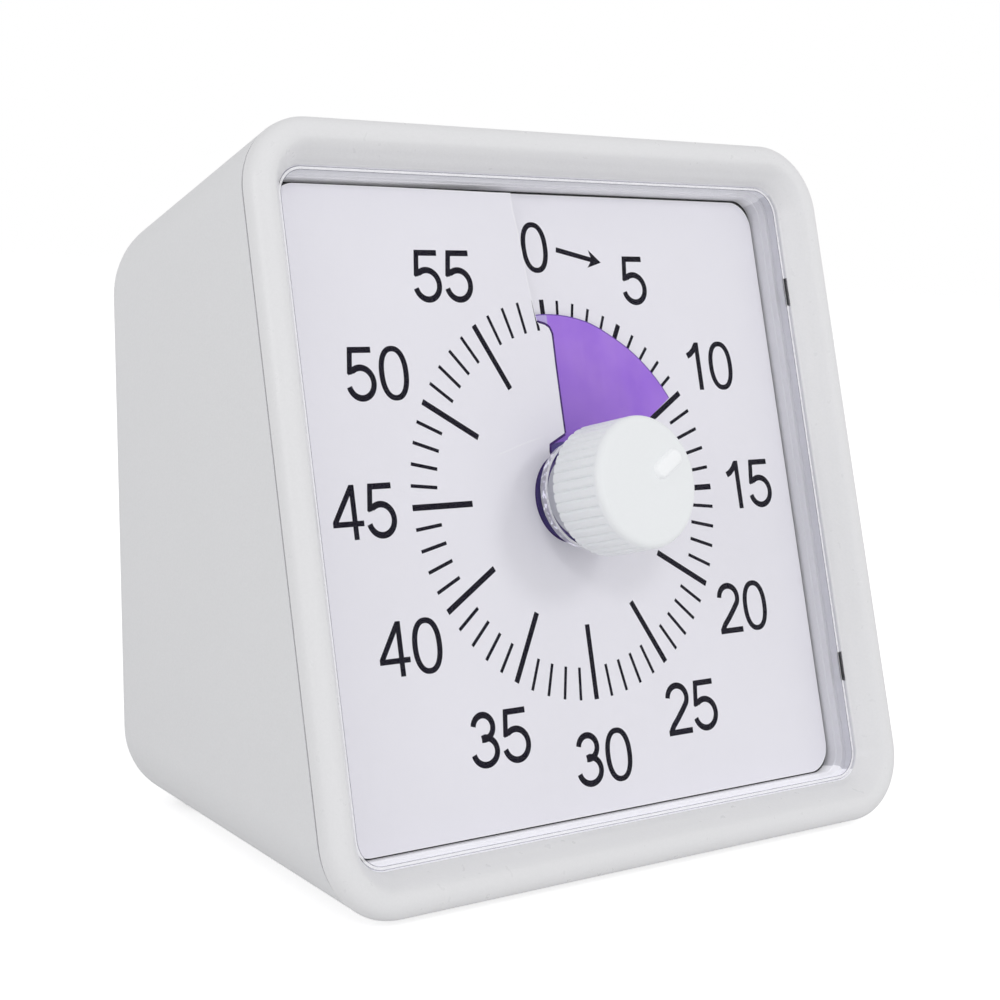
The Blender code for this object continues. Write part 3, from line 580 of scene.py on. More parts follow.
def wedge(inset, back_inset, front_n, edge_r, rear_r):
    """Wedge solid in world directions about the dial centre."""
    slant = math.sqrt(1 + SIDE_TAPER ** 2)
    side_d = HALF_W - SIDE_TAPER * PART_N - inset * slant
    top_d = TOP_Y * math.sin(TOP_SLOPE) + TOP_Z * math.cos(TOP_SLOPE) - inset
    back_n = Vector((0.0, math.cos(BACK_LEAN), -math.sin(BACK_LEAN)))
    back_d = BACK_Y * math.cos(BACK_LEAN) - back_inset
    ends = ((AXIS_N, front_n), (back_n, back_d))
    levels = ((Vector((0, 0, 1)), BASE_Z + inset),
              (Vector((0, math.sin(TOP_SLOPE), math.cos(TOP_SLOPE))), top_d))
    bm = bmesh.new()
    grid = {}
    for sx in (-1, 1):
        side = (Vector((sx, 0, 0)) - AXIS_N * SIDE_TAPER, side_d)
        for iz, level in enumerate(levels):
            for ie, end in enumerate(ends):
                grid[sx, iz, ie] = bm.verts.new(meet((side, level, end)))
    quads = (((-1, 0, 0), (1, 0, 0), (1, 1, 0), (-1, 1, 0)),
             ((-1, 0, 1), (1, 0, 1), (1, 1, 1), (-1, 1, 1)),
             ((-1, 0, 0), (1, 0, 0), (1, 0, 1), (-1, 0, 1)),
             ((-1, 1, 0), (1, 1, 0), (1, 1, 1), (-1, 1, 1)),
             ((-1, 0, 0), (-1, 1, 0), (-1, 1, 1), (-1, 0, 1)),
             ((1, 0, 0), (1, 1, 0), (1, 1, 1), (1, 0, 1)))
    for quad in quads:
        bm.faces.new([grid[key] for key in quad])
    bmesh.ops.recalc_face_normals(bm, faces=bm.faces)

    def bevel(normal, level, ends_on, offset, segments):
        """Round the edges that have this many ends on a plane."""
        edges = [e for e in bm.edges
                 if sum(abs(v.co.dot(normal) - level) < 1e-4 for v in e.verts) == ends_on]
        bmesh.ops.bevel(bm, geom=edges, offset=offset, offset_type="OFFSET", segments=segments,
                        profile=0.5, affect="EDGES", clamp_overlap=False)

    bevel(AXIS_N, front_n, 1, edge_r, 16)
    bevel(back_n, back_d, 2, rear_r, 10)
    return bm


FOOT_SPOTS = ((-27.0, -5.0), (27.0, -5.0), (-23.0, 30.0), (23.0, 30.0))
SCREW_SPOTS = ((-24.2, 13.6), (24.2, 13.6), (-23.4, 38.6), (23.4, 38.6))


def rear_shell():
    """Hollow wedge with its openings; a near-white painted highlight runs round the front rim."""
    front = PART_N - SEAM / 2
    body = place(wedge(0.0, 0.0, front, CORNER_R, REAR_EDGE_R), "shell", WORLD)
    inner = wedge(WALL, BACK_WALL, front + 3.0, CORNER_R - WALL, REAR_EDGE_R - 2.2)
    cut(body, [inner], WORLD)
    openings = (
        [plate(DOOR_P + 0.3, DOOR_Q + 0.3, 1.8, -1.75, 2.0)],  # cover recess
        [plate(25.6, 8.1, 1.2, -6.0, 0.0)],  # battery opening
        [plate(4.7, 1.8, 0.5, -6.0, 2.0, centre=(0.0, SWITCH_Q))],  # switch slot
        [plate(7.0, 3.2, 3.0, -0.5, 2.0, centre=(0.0, SWITCH_Q))],  # finger dish
        [plate(0.6, 3.6, 0.55, -6.0, 2.0, 8, (3.2 * i, 34.6)) for i in range(-2, 3)],  # sound slots
        [rod(1.4, -6.0, 2.0, 32, s) for s in SCREW_SPOTS],  # screw holes
        [rod(2.95, -1.0, 2.0, 40, s) for s in SCREW_SPOTS],  # head recesses
    )
    for shapes in openings:
        cut(body, shapes, back_matrix())
    cut(body, [rod(4.3, BASE_Z - 1.0, BASE_Z + 0.9, 48, s) for s in FOOT_SPOTS], WORLD)
    soften(body, 0.22)
    dress(body, "housing_white", "rear_housing")

    # faces of the front rim's fillet take the painted highlight
    def rim(corners):
        return front - 0.25 < min(c.z for c in corners) < front - 0.001

    finishes(body, FACE, ["seam_edge"], rim)


def bezel_profile():
    """Inset from the outer outline and height n; closed loop."""
    rear = PART_N + SEAM / 2
    loop = [(0.06, rear), (0.0, rear + 0.08), (0.0, 4.05)]
    for i in range(1, 10):
        a = math.radians(9.0 * i)
        loop.append((1.7 - 1.7 * math.cos(a), 4.05 + 1.7 * math.sin(a)))
    crown = [(1.7, 5.75), (2.4, 5.6), (3.0, 5.08), (3.5, 4.46), (4.0, 3.8), (4.36, 3.14)]
    loop += spline(crown, 4)
    loop += [(4.43, 3.06), (4.45, 2.98), (4.5, 1.45), (5.0, 1.45), (5.06, 1.38), (5.08, 0.7)]
    loop += [(5.17, 0.62), (5.3, -0.8), (3.65, -0.8), (3.65, rear)]
    return loop


def snaps(near, far, half, low, high):
    """Blocks at the four lens snaps, from near to far on either side of the dial."""
    out = []
    for su in (-1, 1):
        for sv in (-1, 1):
            a, b = sorted((su * near, su * far))
            out.append(block(a, b, sv * SNAP_V - half, sv * SNAP_V + half, low, high))
    return out


def bezel():
    """Crowned ring with windows for the lens snaps; its upper and lower inner walls glow as painted
    light and its side walls are a darker copy, painted shade.
    """
    rings = []
    for inset, n in bezel_profile():
        outline = rounded_rect(HALF_W - inset, HALF_H - inset, CORNER_R - inset, 24)
        rise = LIP_RISE if inset > 5.07 else 0.0
        rings.append([(x, y + rise if y < 0 else y, n) for x, y in outline])
    body = place(loft(rings, True), "bezel_ring")
    cut(body, snaps(LENS_W - 0.1, 37.2, 1.65, 2.3, 2.96))
    smooth(body, 32.0)
    dress(body, "bezel_white", "front_bezel")

    def wall(corners):
        at = middle(corners)
        from_side, from_end = HALF_W - abs(at.x), HALF_H - abs(at.y)
        if min(from_side, from_end) < SHELF_IN or not -0.9 < at.z < 2.9:
            return 0
        # upper and lower walls take painted light, side walls painted shade
        return 3 if from_side < from_end else 1 if at.y > 0 else 2

    finishes(body, FACE, ["wall_top", "wall_low", "wall_right"], wall)
    # thin dark plates on the lens lip by the right-hand snaps: painted shade of the snap windows
    slots = [plate(0.15, 1.6, 0.14, LENS_FRONT - 0.02, LENS_FRONT + 0.04, 8, (LENS_W - 0.14, v))
             for v in (-SNAP_V, SNAP_V)]
    slot = place(merge(slots), "snap_slot_shadows")
    dress(slot, "frame_dark", slot="frame_plastic")


def lens():
    """Clear sheet with four snap tabs; its rim, hole wall and lips carry painted light: bright
    highlight bands, dark lines of painted shade and a glowing hole wall.
    """
    steps = ((0.1, LENS_BACK), (0.0, LENS_BACK + 0.1), (0.0, LENS_FRONT - 0.1),
             (0.1, LENS_FRONT), (0.35, LENS_FRONT), (0.44, LENS_FRONT))
    body = place(stack(LENS_W, LENS_H, LENS_R, steps, 20), "lens_sheet")
    cut(body, snaps(LENS_W - 0.5, LENS_W + 0.75, 1.4, 2.0, 2.2), FACE, "UNION")
    for r, n0, n1 in ((LENS_HOLE + 0.3, 2.79, 3.4), (LENS_HOLE, 1.0, 3.4)):
        cut(body, [turned([(r, n0), (r, n1)], 128)])
    smooth(body, 30.0)
    dress(body, "clear_plastic", "clear_lens")
    finishes(body, FACE, ["lens_lip", "lens_wall", "lens_line", "lens_side"], lens_part)


def lens_inset(x, y):
    """Distance of a point in from the sheet's rounded outline."""
    x, y = abs(x) - LENS_W + LENS_R, abs(y) - LENS_H + LENS_R
    if x > 0 and y > 0:
        return LENS_R - math.hypot(x, y)
    return LENS_R - max(x, y)


def lens_part(corners):
    """Which finish a face takes: 0 clear, 1 lip (painted highlight), 2 hole wall (painted light
    with glints), 3 thin line (painted shade), 4 outer wall.
    """
    far = max(math.hypot(c.x, c.y) for c in corners)
    low = min(c.z for c in corners)
    inset = max(lens_inset(c.x, c.y) for c in corners)
    if far < LENS_HOLE + 0.31:
        return 1 if low > LENS_FRONT - 0.05 else 2
    if inset < 0.11:
        return 3 if low > LENS_FRONT - 0.11 else 4
    if low < LENS_FRONT - 0.01 or inset > 0.45:
        return 0
    return 1 if inset < 0.36 else 3


# ---- dial
def outline_radius(angle):
    """Distance from the centre to the rounded card edge, angle clockwise from up."""
    du, dv = abs(math.sin(angle)), abs(math.cos(angle))
    lo, hi = 20.0, 50.0
    for _ in range(40):
        mid = (lo + hi) / 2
        x, y = du * mid, dv * mid
        corner = math.hypot(max(x - CARD_W + CARD_R, 0.0), max(y - CARD_H + CARD_R, 0.0))
        if corner <= CARD_R and x <= CARD_W and y <= CARD_H:
            lo = mid
        else:
            hi = mid
    return lo


def clock(deg, r):
    """Point on the dial at an angle clockwise from up."""
    a = math.radians(deg)
    return r * math.sin(a), r * math.cos(a)


def ease(t):
    t = min(max(t, 0.0), 1.0)
    return t * t * (3 - 2 * t)


def rim_radius(deg):
    """Card outline, drawn in a little where the free edge curls up."""
    return outline_radius(math.radians(deg)) - CARD_PULL * ease((deg - 325.0) / 28.0)


def card_height(deg, r):
    """Spiral height of the card front; the free edge past 325 degrees curls up."""
    base = DIAL_LOW + DIAL_RISE * deg / 360.0
    curl = min(max((deg - 325.0) / 30.0, 0.0), 1.0) * min(max((r - 21.0) / 10.0, 0.0), 1.0)
    return base + CARD_CURL * ease(curl)


def film_height(deg):
    return DIAL_LOW + FILM_LIFT + DIAL_RISE * deg / 360.0


def spiral_body(columns, rows, where, height, thick, finish):
    """Thin closed sheet on an angle by radius grid; finish(c, r) picks each cell's material."""
    bm = bmesh.new()

    def corner(c, r, drop):
        deg, radius = where(c, r)
        return bm.verts.new((*clock(deg, radius), height(deg, radius) - drop))

    top, low = ([[corner(c, r, drop) for r in range(rows)] for c in range(columns)]
                for drop in (0.0, thick))
    for g in (top, low):
        for c in range(columns - 1):
            for r in range(rows - 1):
                cell = bm.faces.new((g[c][r], g[c + 1][r], g[c + 1][r + 1], g[c][r + 1]))
                cell.material_index = finish(c, r)
    for c in range(columns - 1):
        for r in (0, rows - 1):
            bm.faces.new((top[c][r], top[c + 1][r], low[c + 1][r], low[c][r]))
    for r in range(rows - 1):
        for c in (0, columns - 1):
            bm.faces.new((top[c][r], top[c][r + 1], low[c][r + 1], low[c][r]))
    return bm


# free edge of the card: radius and angle, from the notch at the hole out past the slit
SLIT = ((CARD_HOLE, 335.5), (4.9, 335.55), (5.35, 336.0), (6.09, 340.5), (6.8, 362.3),
        (10.0, 361.45), (14.0, 361.0), (17.0, 361.0), (17.6, 360.9), (18.2, 360.05), (18.5, 358.6),
        (18.65, 357.3), (18.78, 355.9), (18.9, 355.35), (19.0, 355.3))


def slit_angle(r):
    """Angle of the card's free edge at radius r."""
    far, last = SLIT[-1]
    if r >= far:
        return last - 0.16 * (r - far)
    for (r0, a0), (r1, a1) in zip(SLIT, SLIT[1:]):
        if r <= r1:
            return a0 + (a1 - a0) * (r - r0) / (r1 - r0)


CARD_EDGE = SLIT + tuple((19.0 + i, slit_angle(19.0 + i)) for i in range(1, 13))
CARD_EDGE += ((-0.14, 353.7), (0.0, 353.7))


def card_angles():
    """Every two degrees, and closer together round the card's corners."""
    out = {CARD_START + 2.0 * i for i in range(187)}
    corner = math.degrees(math.atan2(CARD_W - 0.9, CARD_H - 0.9))
    for at in (corner, 180.0 - corner, 180.0 + corner, 360.0 - corner):
        out |= {round(at + 0.5 * i, 3) for i in range(-11, 12)}
    return sorted(out)


def card():
    angles = card_angles()
    last = len(CARD_EDGE) - 2

    def where(ci, ri):
        r, end = CARD_EDGE[ri]
        deg = min(angles[ci], end - 0.3) if ci < len(angles) else end
        return deg, r if r > 0 else rim_radius(deg) + r

    # row 0 by the hole takes the painted shadow line; the outer edge row and the flap's free edge
    # take the lighter painted highlight
    def finish(ci, ri):
        lip = ci == len(angles) - 1 and CARD_EDGE[ri][0] >= 19.0
        return 1 if ri == 0 else 2 if ri == last or lip else 0

    bm = spiral_body(len(angles) + 1, len(CARD_EDGE), where, card_height, CARD_T, finish)
    obj = place(bm, "card_sheet")
    smooth(obj, 60.0)
    dress(obj, "dial_paper", "dial_card")
    obj.data.materials.append(MATS["slit_line"])
    obj.data.materials.append(MATS["card_fold"])


def card_lines():
    """Painted shadow line along the slit and notch, and a painted highlight strip along the fold
    that runs left from the hub.
    """
    rim = [clock(deg, r) for r, deg in SLIT[1:]]
    path = rim[:3] + spline(rim[3:], 5)
    parts = []
    for a, b in zip(path, path[1:]):
        along = (Vector(b) - Vector(a)).normalized()
        across = Vector((along.y, -along.x)) * 0.26
        quad = [Vector(a) - along * 0.02, Vector(b) + along * 0.02]
        quad += [quad[1] + across, quad[0] + across]
        parts.append(prism(quad, 0.045, 0.07))
    dress(place(merge(parts), "slit_shadow_strip"), "slit_line", slot="dial_paper")
    # the lighter strip along the fold is a painted highlight
    fold = spline([(-9.6, 4.8), (-4.1, 6.25), (0.1, 6.9)], 6)
    crease = place(slab(ribbon(fold, 0.1), PRINT_LOW, PRINT_T), "card_fold")
    dress(crease, "card_fold", slot="dial_paper")


def film():
    """Sector of film with painted shade at its root by the hub, a thin dark painted edge line round
    its outside and a painted glare patch by the slit.
    """
    radii = (DISC_HOLE, 5.9, 8.0, 11.0, 14.0, 17.0, 18.4, DISC_R - 0.12, DISC_R)
    angles = [FILM_EDGE] + [58.0 - 2.0 * i for i in range(177)]
    angles.append(FILM_EDGE - DISC_SWEEP)

    def where(ci, ri):
        bulge = DISC_BULGE * ease((30.0 - angles[ci]) / 14.0) if ri > 6 else 0.0
        return angles[ci], radii[ri] + bulge

    def finish(ci, ri):
        # row 0 is painted shade, row 7 a painted dark edge line, and a patch by the slit painted
        # glare
        glare = ri == 6 and -4.5 < angles[ci] < 0.5
        return 2 if ri == 0 else 1 if ri == 7 else 3 if glare else 0

    bm = spiral_body(len(angles), len(radii), where, lambda deg, r: film_height(deg), DISC_T,
                     finish)
    obj = place(bm, "film_sector")
    smooth(obj, 60.0)
    dress(obj, "purple_film", "time_disc", body="dial_group")
    for key in ("film_rim", "film_shade", "film_pale"):
        obj.data.materials.append(MATS[key])


def register(deg):
    """Share of the print's sideways shift that holds near zero, and its lean on the flap."""
    hold = ease((deg - 15.0) / 30.0) if deg < 60.0 else 1.0
    return hold, 0.44 * max(deg - 292.0, 0.0) / 56.0


def on_card(u, v, lift, hold=1.0, lean=0.0):
    """Drop a flat point onto the card's front; the print keeps register as the card falls away."""
    deg = math.degrees(math.atan2(u, v))
    turn = 360.0 if deg < -5.0 else 0.0
    low = DIAL_LOW + DIAL_RISE * (deg + turn) / 360.0
    u, v = u - PRINT_U * low * hold + lean, v - PRINT_V * low * hold
    deg, r = math.degrees(math.atan2(u, v)) + turn, math.hypot(u, v)
    if turn and deg > slit_angle(r) - 0.2 and deg > 300.0:
        deg = slit_angle(r) - 0.2
        u, v = clock(deg, r)
    return (u, v, card_height(deg, r) + lift)


def slab(outline, low, high, hold=1.0, lean=0.0):
    """Flat printed shape from one outline, as a thin closed solid lying on the card."""
    return loft([[on_card(u, v, lift, hold, lean) for u, v in outline] for lift in (low, high)])


def ticks():
    parts = []
    for minute in range(60):
        five = minute % 5 == 0
        inner = TICK_FIVE if five else TICK_MIN
        half = (FIVE_W if five else MINUTE_W) / 2
        s, c = clock(6.0 * minute, 1.0)
        radii = [inner + (TICK_OUT - inner) * i / TICK_STEPS for i in range(TICK_STEPS + 1)]
        sides = [[(r * s + w * c, r * c - w * s) for r in radii] for w in (-half, half)]
        if minute == 0:
            sides = [[p for p in row if p[1] > 18.0] for row in sides]
        parts.append(slab(sides[0] + sides[1][::-1], PRINT_LOW, PRINT_T, *register(6.0 * minute)))
    obj = place(merge(parts), "print_ticks")
    dress(obj, "print", slot="dial_paper")


def ribbon(points, width):
    """Outline of a constant-width stroke along points, with square ends."""
    pts = [Vector(p) for p in points]
    left, right = [], []
    last = len(pts) - 1
    for i, p in enumerate(pts):
        before = (p - pts[i - 1]).normalized() if i > 0 else None
        after = (pts[i + 1] - p).normalized() if i < last else None
        along = ((before or after) + (after or before)).normalized()
        across = Vector((-along.y, along.x))
        lean = across.dot(Vector((-(after or before).y, (after or before).x)))
        reach = width / 2 / max(lean, 0.35)
        left.append(p + across * reach)
        right.append(p - across * reach)
    return left + right[::-1]


def oval(rx, ry, count=56, power=2.25):
    out = []
    for i in range(count):
        a = 2 * math.pi * i / count
        c, s = math.cos(a), math.sin(a)
        out.append((rx * math.copysign(abs(c) ** (2 / power), c),
                    ry * math.copysign(abs(s) ** (2 / power), s)))
    return out


def digit_strokes(digit):
    """Strokes of a digit, each an outline with its hole or None."""
    w = STROKE
    if digit == "0":
        return [(oval(1.88, 2.80), oval(1.88 - w, 2.80 - w * 0.86))]
    if digit == "1":
        stem = ribbon([(0.62, -2.72), (0.62, 2.72)], w)
        flag = ribbon([(0.5, 2.45), (0.05, 1.85), (-0.5, 1.42), (-1.05, 1.18)], w)
        return [(stem, None), (flag, None)]
    if digit == "2":
        curve = arc(0.05, 1.17, 1.42, 1.33, 176, -28, 20) + [(0.72, -0.10), (-0.15, -0.98)]
        curve += [(-1.0, -1.75), (-1.42, -2.3)]
        foot = ribbon([(-1.78, -2.45), (1.78, -2.45)], w * 0.92)
        return [(ribbon(curve, w), None), (foot, None)]
    if digit == "3":
        upper = arc(-0.08, 1.27, 1.28, 1.22, 172, -88, 20) + [(-0.42, 0.07)]
        lower = [(-0.42, 0.12)] + arc(-0.12, -1.12, 1.55, 1.36, 84, -170, 24)
        return [(ribbon(upper, w), None), (ribbon(lower, w), None)]
    if digit == "4":
        outer = [(0.45, 2.72), (1.07, 2.72), (1.07, -0.86), (1.85, -0.86), (1.85, -1.42),
                 (1.07, -1.42), (1.07, -2.72), (0.45, -2.72), (0.45, -1.42), (-1.95, -1.42),
                 (-1.95, -0.86)]
        inner = [(0.45, 1.62), (0.45, -0.86), (-1.22, -0.86)]
        return [(outer, inner)]
    bar = ribbon([(1.5, 2.43), (-1.12, 2.43), (-1.45, -0.02)], w * 0.92)
    bowl = [(-1.28, -0.02)] + arc(-0.1, -0.92, 1.58, 1.55, 140, -166, 28)
    return [(bar, None), (ribbon(bowl, w), None)]


def glyph(digit):
    """One flat numeral solid, strokes joined, in a local frame."""
    body = None
    for outer, inner in digit_strokes(digit):
        piece = place(prism(outer, 0.0, 1.0), "glyph", Matrix.Identity(4))
        if inner:
            cut(piece, [prism(inner, -1.0, 2.0)], Matrix.Identity(4))
        if body:
            combine(body, piece, "UNION")
        else:
            body = piece
    return body


def prism(outline, low, high):
    return loft([[(x, y, z) for x, y in outline] for z in (low, high)])


def dice(obj, step):
    """Cut a flat shape into a grid of small cells, so that it can follow the card."""
    bm = bmesh.new()
    bm.from_mesh(obj.data)
    for axis in (0, 1):
        for i in range(-8, 9):
            at, along = Vector((0.0, 0.0, 0.0)), Vector((0.0, 0.0, 0.0))
            at[axis] = i * step * MM
            along[axis] = 1.0
            geom = bm.verts[:] + bm.edges[:] + bm.faces[:]
            bmesh.ops.bisect_plane(bm, geom=geom, dist=1e-7, plane_co=at, plane_no=along)
    bmesh.ops.triangulate(bm, faces=bm.faces)
    bm.to_mesh(obj.data)
    bm.free()


def numerals():
    shapes = {d: glyph(d) for d in "012345"}
    for shape in shapes.values():
        dice(shape, 0.6)
    total = bmesh.new()
    for minute in range(0, 60, 5):
        text = str(minute)
        centre = clock(6.0 * minute, NUMERAL_R)
        if minute == 0:
            centre = (-0.33, 27.05)
        if minute == 5:
            centre = (centre[0] + 0.2, centre[1] - 0.2)
        for i, d in enumerate(text):
            x = centre[0] + DIGIT_STEP * (i - (len(text) - 1) / 2)
            part = bmesh.new()
            part.from_mesh(shapes[d].data)
            for v in part.verts:
                lift = PRINT_T if v.co.z > 0.5 * MM else PRINT_LOW
                v.co = on_card(v.co.x / MM + x, v.co.y / MM + centre[1], lift)
            total = merge([total, part])
    for obj in shapes.values():
        bpy.data.objects.remove(obj, do_unlink=True)
    obj = place(merge([total, arrow()]), "print_numerals")
    dress(obj, "print", slot="dial_paper")


def arrow():
    start, tip = Vector((2.76, 26.86)), Vector((9.22, 25.5))
    along = (tip - start).normalized()
    across = Vector((-along.y, along.x))
    neck = tip - along * 1.55
    line = [start + across * 0.29, neck + across * 0.27,
            neck - across * 0.27, start - across * 0.29]
    head = [neck - along * 0.4 + across * 1.02, tip, neck - along * 0.4 - across * 1.02, neck]
    shape = [line[0], line[1], head[0], head[1], head[2], line[2], line[3]]
    return slab(shape, PRINT_LOW, PRINT_T)


def hub():
    r = HUB_R
    profile = [(2.3, 1.2), (r - 0.4, 1.2), (r - 0.2, 1.15), (r - 0.05, 1.05), (r, 0.9), (r, 0.45),
               (r - 0.1, 0.35), (3.4, 0.35), (3.4, -2.3), (2.3, -2.3)]
    obj = place(turned(profile, 96, True), "hub_collar")
    smooth(obj, 35.0)
    dress(obj, "hub_purple", "disc_hub", body="dial_group")


# ---- knob
def knob_cap():
    """Fluted cap with crisp ridges that fade into a rounded front edge, and a raised bar; its stem
    is painted grey as shade under the cap.
    """
    per = 10
    count = KNOB_FLUTES * per
    shape = (0.27, 0.11, 0.01, 0.0, 0.0, 0.0, 0.0, 0.0, 0.01, 0.11)
    outline = [(STEM_R, 1.5, 0.0), (STEM_R, 4.35, 0.0), (4.55, 4.6, 0.0), (4.9, KNOB_BACK, 0.0),
               (6.5, KNOB_BACK, 0.0), (6.75, KNOB_BACK + 0.08, 0.7),
               (KNOB_R, KNOB_BACK + 0.28, 1.0),
               (KNOB_R, 10.5, 1.0), (KNOB_R, 10.85, 0.8), (KNOB_R, 11.15, 0.25)]
    for i in range(9):
        a = math.radians(90.0 * i / 8)
        outline.append((KNOB_R - 0.8 + 0.8 * math.cos(a), KNOB_FRONT - 0.85 + 0.85 * math.sin(a),
                        0.0))
    outline += [(4.0, KNOB_FRONT, 0.0), (1.5, KNOB_FRONT, 0.0)]

    def point(i, r, n, deep):
        a, rr = 2 * math.pi * i / count, r - shape[i % per] * deep
        return rr * math.cos(a), rr * math.sin(a), n

    body = place(loft([[point(i, *row) for i in range(count)] for row in outline]), "knob_cap")
    cut(body, [rod(2.3, 0.5, 8.9, 48)])
    smooth(body, 50.0)
    # the knob finish glows: painted light on its shaded side
    dress(body, "knob_white", "knob", body="dial_group")

    # stem faces take the grey finish, painted shade
    def stem(corners):
        at = middle(corners)
        return math.hypot(at.x, at.y) < STEM_R + 0.2 and at.z < KNOB_BACK

    finishes(body, FACE, ["knob_stem"], stem)
    rise = ((-0.05, -0.3), (-0.1, 0.0), (-0.03, 0.1), (0.02, 0.25), (0.08, 0.4), (0.2, 0.5),
            (0.38, 0.55))
    steps = [(inset, KNOB_FRONT + n) for inset, n in rise]
    at = FACE @ Matrix.Rotation(-math.radians(REST_TURN), 4, "Z")
    # the bar takes the lighter knob finish, a painted highlight
    bar = place(stack(0.87, 2.02, 0.84, steps, 10, (0.0, 3.3)), "knob_bar", at)
    smooth(bar, 60.0)
    dress(bar, "knob_bar", body="dial_group", slot="knob_white")


# ---- back panel and underside
def battery_door():
    at = back_matrix(0.0, -DOOR_Q, 0.0)
    steps = ((0.12, -DOOR_T), (0.0, -DOOR_T + 0.12), (0.0, -0.25), (0.08, -0.07), (0.25, 0.0))
    body = place(stack(DOOR_P, DOOR_Q, 1.5, steps, 12, (0.0, DOOR_Q)), "door_lid", at)
    hollow = ((0.6, -0.78), (0.35, -0.75), (0.1, -0.6), (0.0, -0.35), (0.0, 1.0))
    cut(body, [stack(6.0, 2.4, 2.38, hollow, 12, (0.0, 2 * DOOR_Q - 4.2))], at)
    grips = [block(-3.2, 3.2, 2 * DOOR_Q - 5.2 + 0.9 * i, 2 * DOOR_Q - 4.9 + 0.9 * i, -1.0, -0.52)
             for i in range(3)]
    ribs = [block(-20.0, -19.0, 3.0, 14.5, -2.2, -1.2), block(19.0, 20.0, 3.0, 14.5, -2.2, -1.2)]
    for parts in (grips, ribs, [block(-2.4, 2.4, 14.2, 15.4, -3.1, -1.2)]):
        cut(body, parts, at, "UNION")
    smooth(body, 32.0)
    dress(body, "housing_white", "battery_cover", body="cover")


CELL_AT = back_matrix(0.0, 0.0, CELL_M) @ Matrix.Rotation(math.radians(90), 4, "Y")


def battery_tray():
    back = back_matrix()
    tray = place(plate(TRAY_P, TRAY_Q, 1.5, -19.6, -3.2, 8), "tray_cup", back)
    cut(tray, [plate(TRAY_P - 1.2, TRAY_Q - 1.6, 1.2, -18.2, 0.0, 8)], back)
    saddles = [block(x - 0.6, x + 0.6, -8.5, 8.5, -18.4, -16.6) for x in (-15.0, 0.0, 15.0)]
    cut(tray, saddles, back, "UNION")
    cut(tray, [rod(CELL_R + 0.25, -25.2, 25.2, 64)], CELL_AT)
    soften(tray, 0.15, 2)
    dress(tray, "frame_plastic", "battery_tray")


def battery_cell():
    sleeve = [(5.2, -24.6), (6.5, -24.6), (6.85, -24.5), (7.03, -24.3), (CELL_R, -24.0),
              (CELL_R, 23.5), (7.03, 23.8), (6.85, 24.0), (6.5, 24.1), (2.75, 24.1), (2.75, 25.1),
              (2.6, 25.4), (2.2, 25.5)]
    cell = place(turned(sleeve, 72), "cell_body", CELL_AT)
    smooth(cell, 30.0)
    axis = (CELL_AT.to_3x3() @ Vector((0.0, 0.0, 1.0))).normalized()
    mid = (CELL_AT @ Vector((0.0, 0.0, 9.0))).dot(axis) * MM
    dark, band = (0.03, 0.035, 0.04), (0.55, 0.36, 0.10)
    MATS["cell_wrap"] = wrap_material("cell_sleeve", dark, band, mid, axis)
    dress(cell, "cell_wrap", "battery_cell")

    def bare(corners):
        at = middle(corners)
        return at.z < -24.35 or (at.z > 24.05 and math.hypot(at.x, at.y) < 6.4)

    finishes(cell, CELL_AT, ["steel"], bare)


def battery_contacts():
    for name, m0, m1 in (("plus", 25.9, 26.3), ("minus", -26.7, -26.4)):
        leaf = place(plate(4.5, 5.5, 0.8, m0, m1, 8), name + "_leaf", CELL_AT)
        soften(leaf, 0.08, 2)
        dress(leaf, "steel", name + "_contact")
    pts = []
    for i in range(121):
        t = i / 120.0
        a = 2 * math.pi * 2.2 * t
        r = 4.0 - 1.6 * t
        pts.append((r * math.cos(a), r * math.sin(a), -26.05 + 1.1 * t))
    coil = place(sweep(pts, 0.16, 10), "contact_coil", CELL_AT)
    smooth(coil, 60.0)
    dress(coil, "steel", "battery_spring")


def slide_switch():
    at = back_matrix(SWITCH_REST, SWITCH_Q)
    body = place(plate(6.6, 2.6, 0.5, -4.1, -2.8, 6), "switch_thumb", at)
    rings = []
    for inset, m in ((0.0, -3.5), (0.0, 0.35), (0.08, 0.6), (0.28, 0.75)):
        outline = rounded_rect(2.1 - inset, 1.4 - inset, 0.4 - inset / 2, 8)
        rings.append([(x, y, m) for x, y in outline])
    cut(body, [loft(rings)], at, "UNION")
    grooves = [block(-1.42 + i, -1.08 + i, -2.0, 2.0, 0.4, 1.5) for i in range(3)]
    cut(body, grooves, at)
    soften(body, 0.07, 2)
    dress(body, "switch_grey", "switch_slider", body="slider")


def fasteners():
    shape = [(0.7, -11.5), (1.05, -10.6), (1.05, -0.7), (2.6, -0.7), (2.6, -0.2), (2.5, 0.0),
             (2.25, 0.2), (1.8, 0.34), (1.2, 0.42), (0.6, 0.45)]
    for i, spot in enumerate(SCREW_SPOTS):
        at = back_matrix(*spot) @ Matrix.Rotation(math.radians(17.0 * i + 8.0), 4, "Z")
        body = place(turned(shape, 40), "screw_head_%d" % (i + 1), at)
        cut(body, [block(-1.5, 1.5, -0.27, 0.27, -0.45, 1.0)], at)
        cut(body, [block(-0.27, 0.27, -1.5, 1.5, -0.45, 1.0)], at)
        soften(body, 0.06, 2)
        dress(body, "steel", "housing_screw_%d" % (i + 1))


